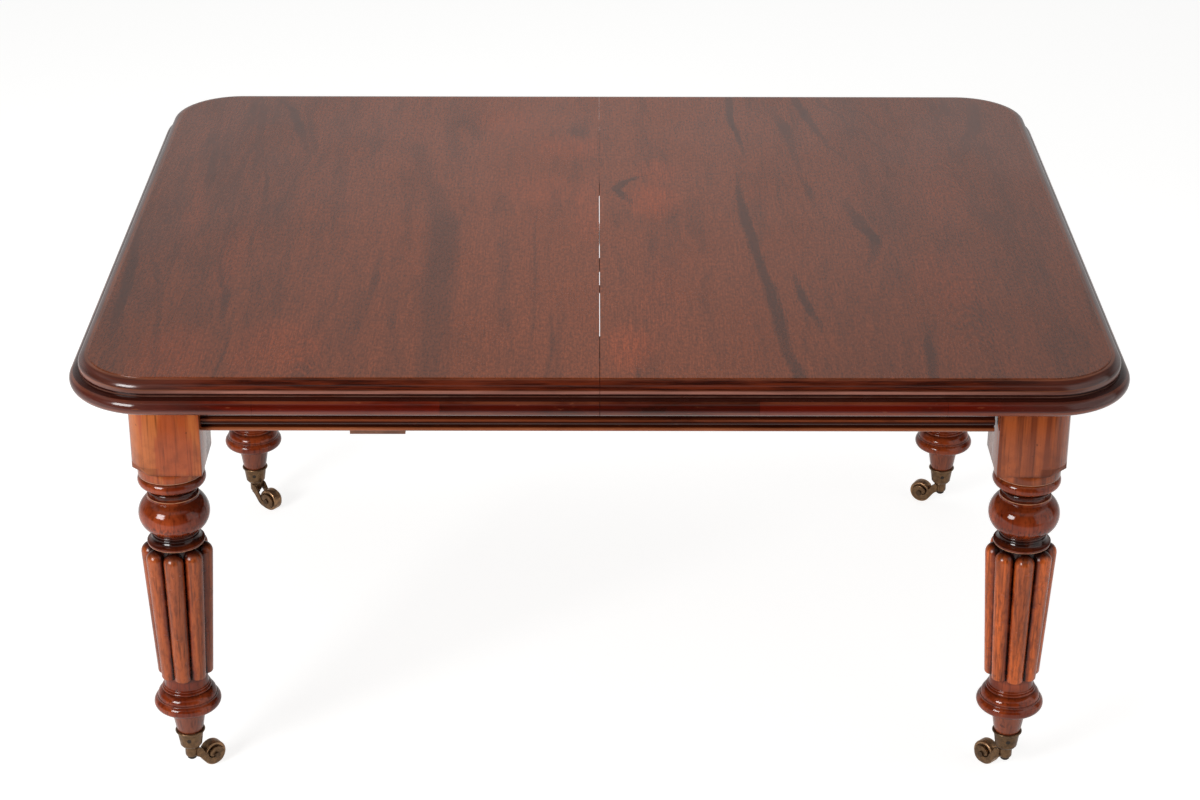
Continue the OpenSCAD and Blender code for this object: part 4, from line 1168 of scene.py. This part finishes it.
class TABLE_OT_screw(bpy.types.Operator):
    """Cut the winding screw's square thread and finish its fittings"""

    bl_idname = "table.screw"
    bl_label = "Winding screw"

    def execute(self, context):
        iron = old_iron("screw_iron")
        low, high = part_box("winding_screw")
        axis = (low + high) / 2
        radius = (high.z - low.z) / 2
        square, journal, root, arris = 0.0065, 0.010, radius - 0.0018, 0.0008
        collar_x, plate_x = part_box("screw_collar")[0].x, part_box("thrust_plate")[1].x
        shank = block("screw_shank", (low.x, -square, axis.z - square), (collar_x, square, axis.z + square))
        with editing(shank) as e:
            e.pick_all()
            e.bevel(arris, 2)
        rods = []
        for x0, x1, r in ((collar_x - 0.001, plate_x + 0.001, journal), (plate_x + 0.0005, high.x, root)):
            rod = start("rod", bpy.ops.mesh.primitive_cylinder_add, vertices=40, radius=r, depth=x1 - x0,
                        location=((x0 + x1) / 2, 0, axis.z), rotation=(0, math.pi / 2, 0))
            set_down(rod)
            with editing(rod) as e:
                e.pick_sharp(1.2)
                e.bevel(arris, 2)
            rods.append(rod)
        # one turn for each pitch that the end travels
        couplings = frame["record"]["behaviour"]["couplings"]
        pitch = math.tau / next(c["ratio"] for c in couplings if c["joint"] == "screw_turn")
        plain = 0.006
        thread = screw_thread("thread", plate_x + plain, high.x - plain, root, radius, pitch)
        thread.data.transform(Matrix.Translation((0, 0, axis.z)))
        screw = joined(shank, *rods, thread)
        screw.name = screw.data.name = "threaded_screw"
        smooth(screw, 35)
        wear(screw, iron, "screw", "iron", "winding_screw")
        for node in ("screw_collar", "thrust_plate", "screw_nut"):
            paint(node, iron)
        paint("escutcheon", aged_brass("escutcheon_brass"))
        return {"FINISHED"}


def cheek_outline():
    """Outline of one cheek of a castor's horn, which curls round the axle, in millimetres.

    X runs from the swivel to the axle, Z is the height.
    """
    cx, cz, r = 36.0, 19.0, 14.0
    lower = [(2.0, 29.5), (5.5, 27.5), (9.0, 24.0), (12.5, 19.0), (17.0, 13.0), (22.0, 8.8)]
    head = arc(cx, cz, r, 244, 505, 34)
    slot_in = [(22.4, 21.5), (24.4, 18.9), (27.6, 17.2), (31.2, 16.8), (34.6, 17.6), (36.6, 19.4)]
    slot_out = [(35.6, 20.2), (33.8, 18.9), (31.0, 18.2), (28.0, 18.7), (25.4, 20.4), (23.9, 22.4)]
    upper = [(21.4, 25.0), (16.6, 31.5), (13.2, 37.5), (11.0, 41.5), (6.0, 44.0), (2.0, 44.0)]
    return lower + head[:-5] + [(24.6, 27.3)] + list(reversed(slot_out)) + list(reversed(slot_in)) + upper


def cast_horn():
    """A castor's horn about its swivel: a boss, a web and two cheeks."""
    cheek_y, bore, height = 11.55 * MM, 4.05, 46.2
    cheek = outline_plate("cheek", cheek_outline(), 3.4)
    with editing(cheek) as e:
        e.pick_sharp(1.3, lambda k: abs(k.verts[0].co.y - k.verts[1].co.y) < 1e-6)
        e.bevel(0.0008, 2, clamp_overlap=True)
    other = copy_of(cheek, "cheek_far", Matrix.Translation((0, cheek_y, 0)))
    cheek.data.transform(Matrix.Translation((0, -cheek_y, 0)))
    section = [(bore, 29), (9.2, 29), (10, 31), (10, 43.6), (8.6, height), (bore, height), (bore, 29)]
    boss = turned("boss", eased(section, 0.6), 40)
    web = block("web", (-3 * MM, -10 * MM, 32.5 * MM), (9 * MM, 10 * MM, 44 * MM))
    with editing(web) as e:
        e.pick_all()
        e.bevel(0.002, 3)
    horn = joined(boss, web, cheek, other)
    horn.name = "horn"
    return horn


class TABLE_OT_castors(bpy.types.Operator):
    """Cast the horns, turn the wheels and finish the cups of the castors"""

    bl_idname = "table.castors"
    bl_label = "Castors"

    def execute(self, context):
        pin_bronze = aged_brass("pin_bronze", 0.5, 1.1)
        brass, bronze = aged_brass("horn_brass"), aged_brass("wheel_bronze", 0.3, 2.6)
        iron = old_iron("pin_iron")
        cup_light = {place: 0.74 if place == "front_right" else 1.0 for place in PLACES}
        cup_brass = {place: aged_brass("cup_brass_" + place, light=cup_light[place]) for place in PLACES}
        horn = cast_horn()
        wheel = turned("wheel", wheel_section(), 56)
        wheel.data.transform(Matrix.Rotation(math.pi / 2, 4, "X"))
        for place in PLACES:
            swivel, roll = joint("swivel_" + place), joint("roll_" + place)
            hub = Vector(roll["pos_m"])
            pin = Vector((swivel["pos_m"][0], swivel["pos_m"][1], 0))
            trail = math.atan2(hub.y - pin.y, hub.x - pin.x)
            turn = Matrix.Rotation(trail, 4, "Z")
            cast = copy_of(horn, "cast_horn_" + place, Matrix.Translation(pin) @ turn)
            smooth(cast, 40)
            wear(cast, brass, "castor_" + place, "brass", "horn_" + place)
            tyre = copy_of(wheel, "turned_wheel_" + place, Matrix.Translation(hub) @ turn)
            smooth(tyre, 40)
            wear(tyre, bronze, f"wheel_{place}_body", "brass", "wheel_" + place)
            paint("castor_cup_" + place, cup_brass[place])
            paint("swivel_pin_" + place, iron)
            paint("axle_pin_" + place, pin_bronze)
        bpy.data.objects.remove(horn)
        bpy.data.objects.remove(wheel)
        return {"FINISHED"}


def wheel_section():
    """Section of a wheel about its axle: tread, dished faces and hub, in millimetres."""
    bore, half, r, tread_r = 3.05, 9.0, 19.5, 3
    face = [(bore, half), (7.6, half), (8.2, half - 2.3), (13.6, half - 2.5), (14.7, half), (16.4, half)]
    side = eased(face, 0.4) + arc(r - tread_r, half - tread_r, tread_r, 88, 8, 6)
    return side + [(r, 0)] + [(x, -z) for x, z in reversed(side)] + [(bore, half)]


class TABLE_OT_fixings(bpy.types.Operator):
    """Finish the wood screws"""

    bl_idname = "table.fixings"
    bl_label = "Wood screws"

    def execute(self, context):
        iron = old_iron("wood_screw_iron")
        for node in ("outer_batten_screws", "middle_batten_screws", "top_screws_left", "top_screws_right",
                     "cup_screws_left", "cup_screws_right"):
            paint(node, iron)
        return {"FINISHED"}


CAMERA_PLACE = (-0.0075, -4.0007, 2.3452)
# pitch below level, yaw and roll, in degrees
CAMERA_ANGLES = (25.677, -0.131, 0.1425)
LAMPS_FACE = (0, 0, 0.45)


class TABLE_OT_stage(bpy.types.Operator):
    """Lay the floor, hang the lamps and place the camera"""

    bl_idname = "table.stage"
    bl_label = "Floor, light and camera"

    def execute(self, context):
        settings = context.scene.table_stage
        floor = start("floor", bpy.ops.mesh.primitive_plane_add, size=60)
        floor.data.materials.append(floor_paint(settings))
        light_world(context.scene)
        lamp("key", (-2.85, -3.3, 1.75), (1.6, 1.5), 18.5)
        lamp("top_box", (-0.2, 0.3, 3.3), (3.0, 2.4), 2.1, mirrored=False)
        lamp("right_panel", (2.3, -1.3, 1.0), (2.6, 2.0), 0.9)
        camera = bpy.data.objects.new("camera", bpy.data.cameras.new("camera"))
        context.scene.collection.objects.link(camera)
        camera.data.lens, camera.data.sensor_width = settings.lens, 36
        camera.data.clip_end = 200
        pitch, yaw, roll = (math.radians(a) for a in CAMERA_ANGLES)
        ahead = Vector((0, math.cos(pitch), -math.sin(pitch)))
        up = Vector((0, math.sin(pitch), math.cos(pitch)))
        about = Matrix.Rotation(yaw, 3, "Z")
        ahead, up, right = about @ ahead, about @ up, about @ Vector((1, 0, 0))
        across = right * math.cos(roll) + up * math.sin(roll)
        up = up * math.cos(roll) - right * math.sin(roll)
        turn = Matrix((across, up, -ahead)).transposed()
        camera.matrix_world = Matrix.Translation(CAMERA_PLACE) @ turn.to_4x4()
        context.scene.camera = camera
        context.scene.view_settings.view_transform = "Standard"
        return {"FINISHED"}


def floor_paint(settings):
    """Plain pale floor: the eye and reflections see it nearly white, with soft shadows."""
    glow_strength = 1.55
    w = Wiring("floor_paint")
    path = w.add("ShaderNodeLightPath").outputs
    mirrored = w.math("ADD", path["Is Glossy Ray"], path["Is Transmission Ray"], clamp=True)
    # in reflections the pale sheet ends in front of the table, and the room's floor is dark
    beyond = w.times(mirrored, w.step(w.y, -1.75, -1.3, 0.93, 0.0))
    plain = w.add("ShaderNodeBsdfDiffuse", {0: w.mix(beyond, settings.floor, (0.0, 0.0, 0.0))})
    strength = w.times_plus(beyond, -glow_strength, glow_strength)
    glow = w.add("ShaderNodeEmission", {"Color": (1.0, 0.998, 0.992, 1), "Strength": strength})
    share = w.times_plus(mirrored, 0.22, w.times(path["Is Camera Ray"], 0.535))
    both = w.add("ShaderNodeMixShader", {0: share, 1: plain.outputs[0], 2: glow.outputs[0]})
    w.add("ShaderNodeOutputMaterial", {0: both.outputs[0]})
    return w.material


def light_world(scene):
    """A white backdrop behind the table and a dim room in front of it; the eye sees plain white."""
    world = bpy.data.worlds.new("studio")
    scene.world = world
    world.use_nodes = True
    world.node_tree.nodes.clear()
    w = Wiring.on(world.node_tree)
    direction = w.add("ShaderNodeSeparateXYZ", {0: w.add("ShaderNodeTexCoord").outputs["Generated"]})
    _, ahead, up = direction.outputs
    behind = w.step(ahead, 0.1, 0.75)
    backdrop = w.step(up, 0.25, 0.65, 0.83, 0.06)
    room = w.times_plus(w.band(up, 0.5, 0.64, 0.72, 0.82), 0.6, 0.03)
    level = w.times_plus(behind, w.minus(backdrop, room), room)
    eye = w.add("ShaderNodeLightPath").outputs["Is Camera Ray"]
    background = w.add("ShaderNodeBackground", {"Strength": w.most(level, eye)})
    w.add("ShaderNodeOutputWorld", {0: background.outputs[0]})


def lamp(name, place, size, radiance, mirrored=True):
    """A soft box that faces the middle of the table. Its brightness doesn't change with its size."""
    data = bpy.data.lights.new(name, "AREA")
    data.shape, data.size, data.size_y = "RECTANGLE", *size
    data.energy = radiance * math.pi * size[0] * size[1]
    obj = bpy.data.objects.new(name, data)
    obj.location = place
    obj.visible_glossy = mirrored
    obj.rotation_euler = (Vector(LAMPS_FACE) - Vector(place)).to_track_quat("-Z", "Y").to_euler()
    bpy.context.scene.collection.objects.link(obj)


# ------------------------------------------------------------------ panel and registration

SETTINGS = (
    ("table_top", TableTopSettings), ("table_moulding", MouldingSettings), ("table_legs", LegSettings),
    ("table_brass", BrassSettings), ("table_stage", StageSettings),
)
OPERATORS = (
    TABLE_OT_boards, TABLE_OT_strips, TABLE_OT_legs, TABLE_OT_frame, TABLE_OT_screw, TABLE_OT_castors,
    TABLE_OT_fixings, TABLE_OT_stage,
)


class TABLE_PT_panel(bpy.types.Panel):
    """Settings and pieces of the table"""

    bl_idname = "TABLE_PT_panel"
    bl_label = "Extending table"
    bl_space_type = "VIEW_3D"
    bl_region_type = "UI"
    bl_category = "Table"

    def draw(self, context):
        for attribute, group in SETTINGS:
            box = self.layout.box()
            box.label(text=group.__doc__.rstrip("."))
            for prop in group.__annotations__:
                box.prop(getattr(context.scene, attribute), prop)
        for operator in OPERATORS:
            self.layout.operator(operator.bl_idname)


def register():
    for _, group in SETTINGS:
        bpy.utils.register_class(group)
    for operator in OPERATORS:
        bpy.utils.register_class(operator)
    bpy.utils.register_class(TABLE_PT_panel)
    for attribute, group in SETTINGS:
        setattr(bpy.types.Scene, attribute, bpy.props.PointerProperty(type=group))


def unregister():
    for attribute, _ in SETTINGS:
        delattr(bpy.types.Scene, attribute)
    bpy.utils.unregister_class(TABLE_PT_panel)
    for operator in reversed(OPERATORS):
        bpy.utils.unregister_class(operator)
    for _, group in reversed(SETTINGS):
        bpy.utils.unregister_class(group)


def main():
    register()
    ours = set(frame["nodes"].values()) | set(frame["bodies"].values())
    for obj in [o for o in bpy.data.objects if o not in ours]:
        bpy.data.objects.remove(obj)
    for operator in OPERATORS:
        namespace, name = operator.bl_idname.split(".")
        getattr(getattr(bpy.ops, namespace), name)()


if __name__ == "__main__":
    main()
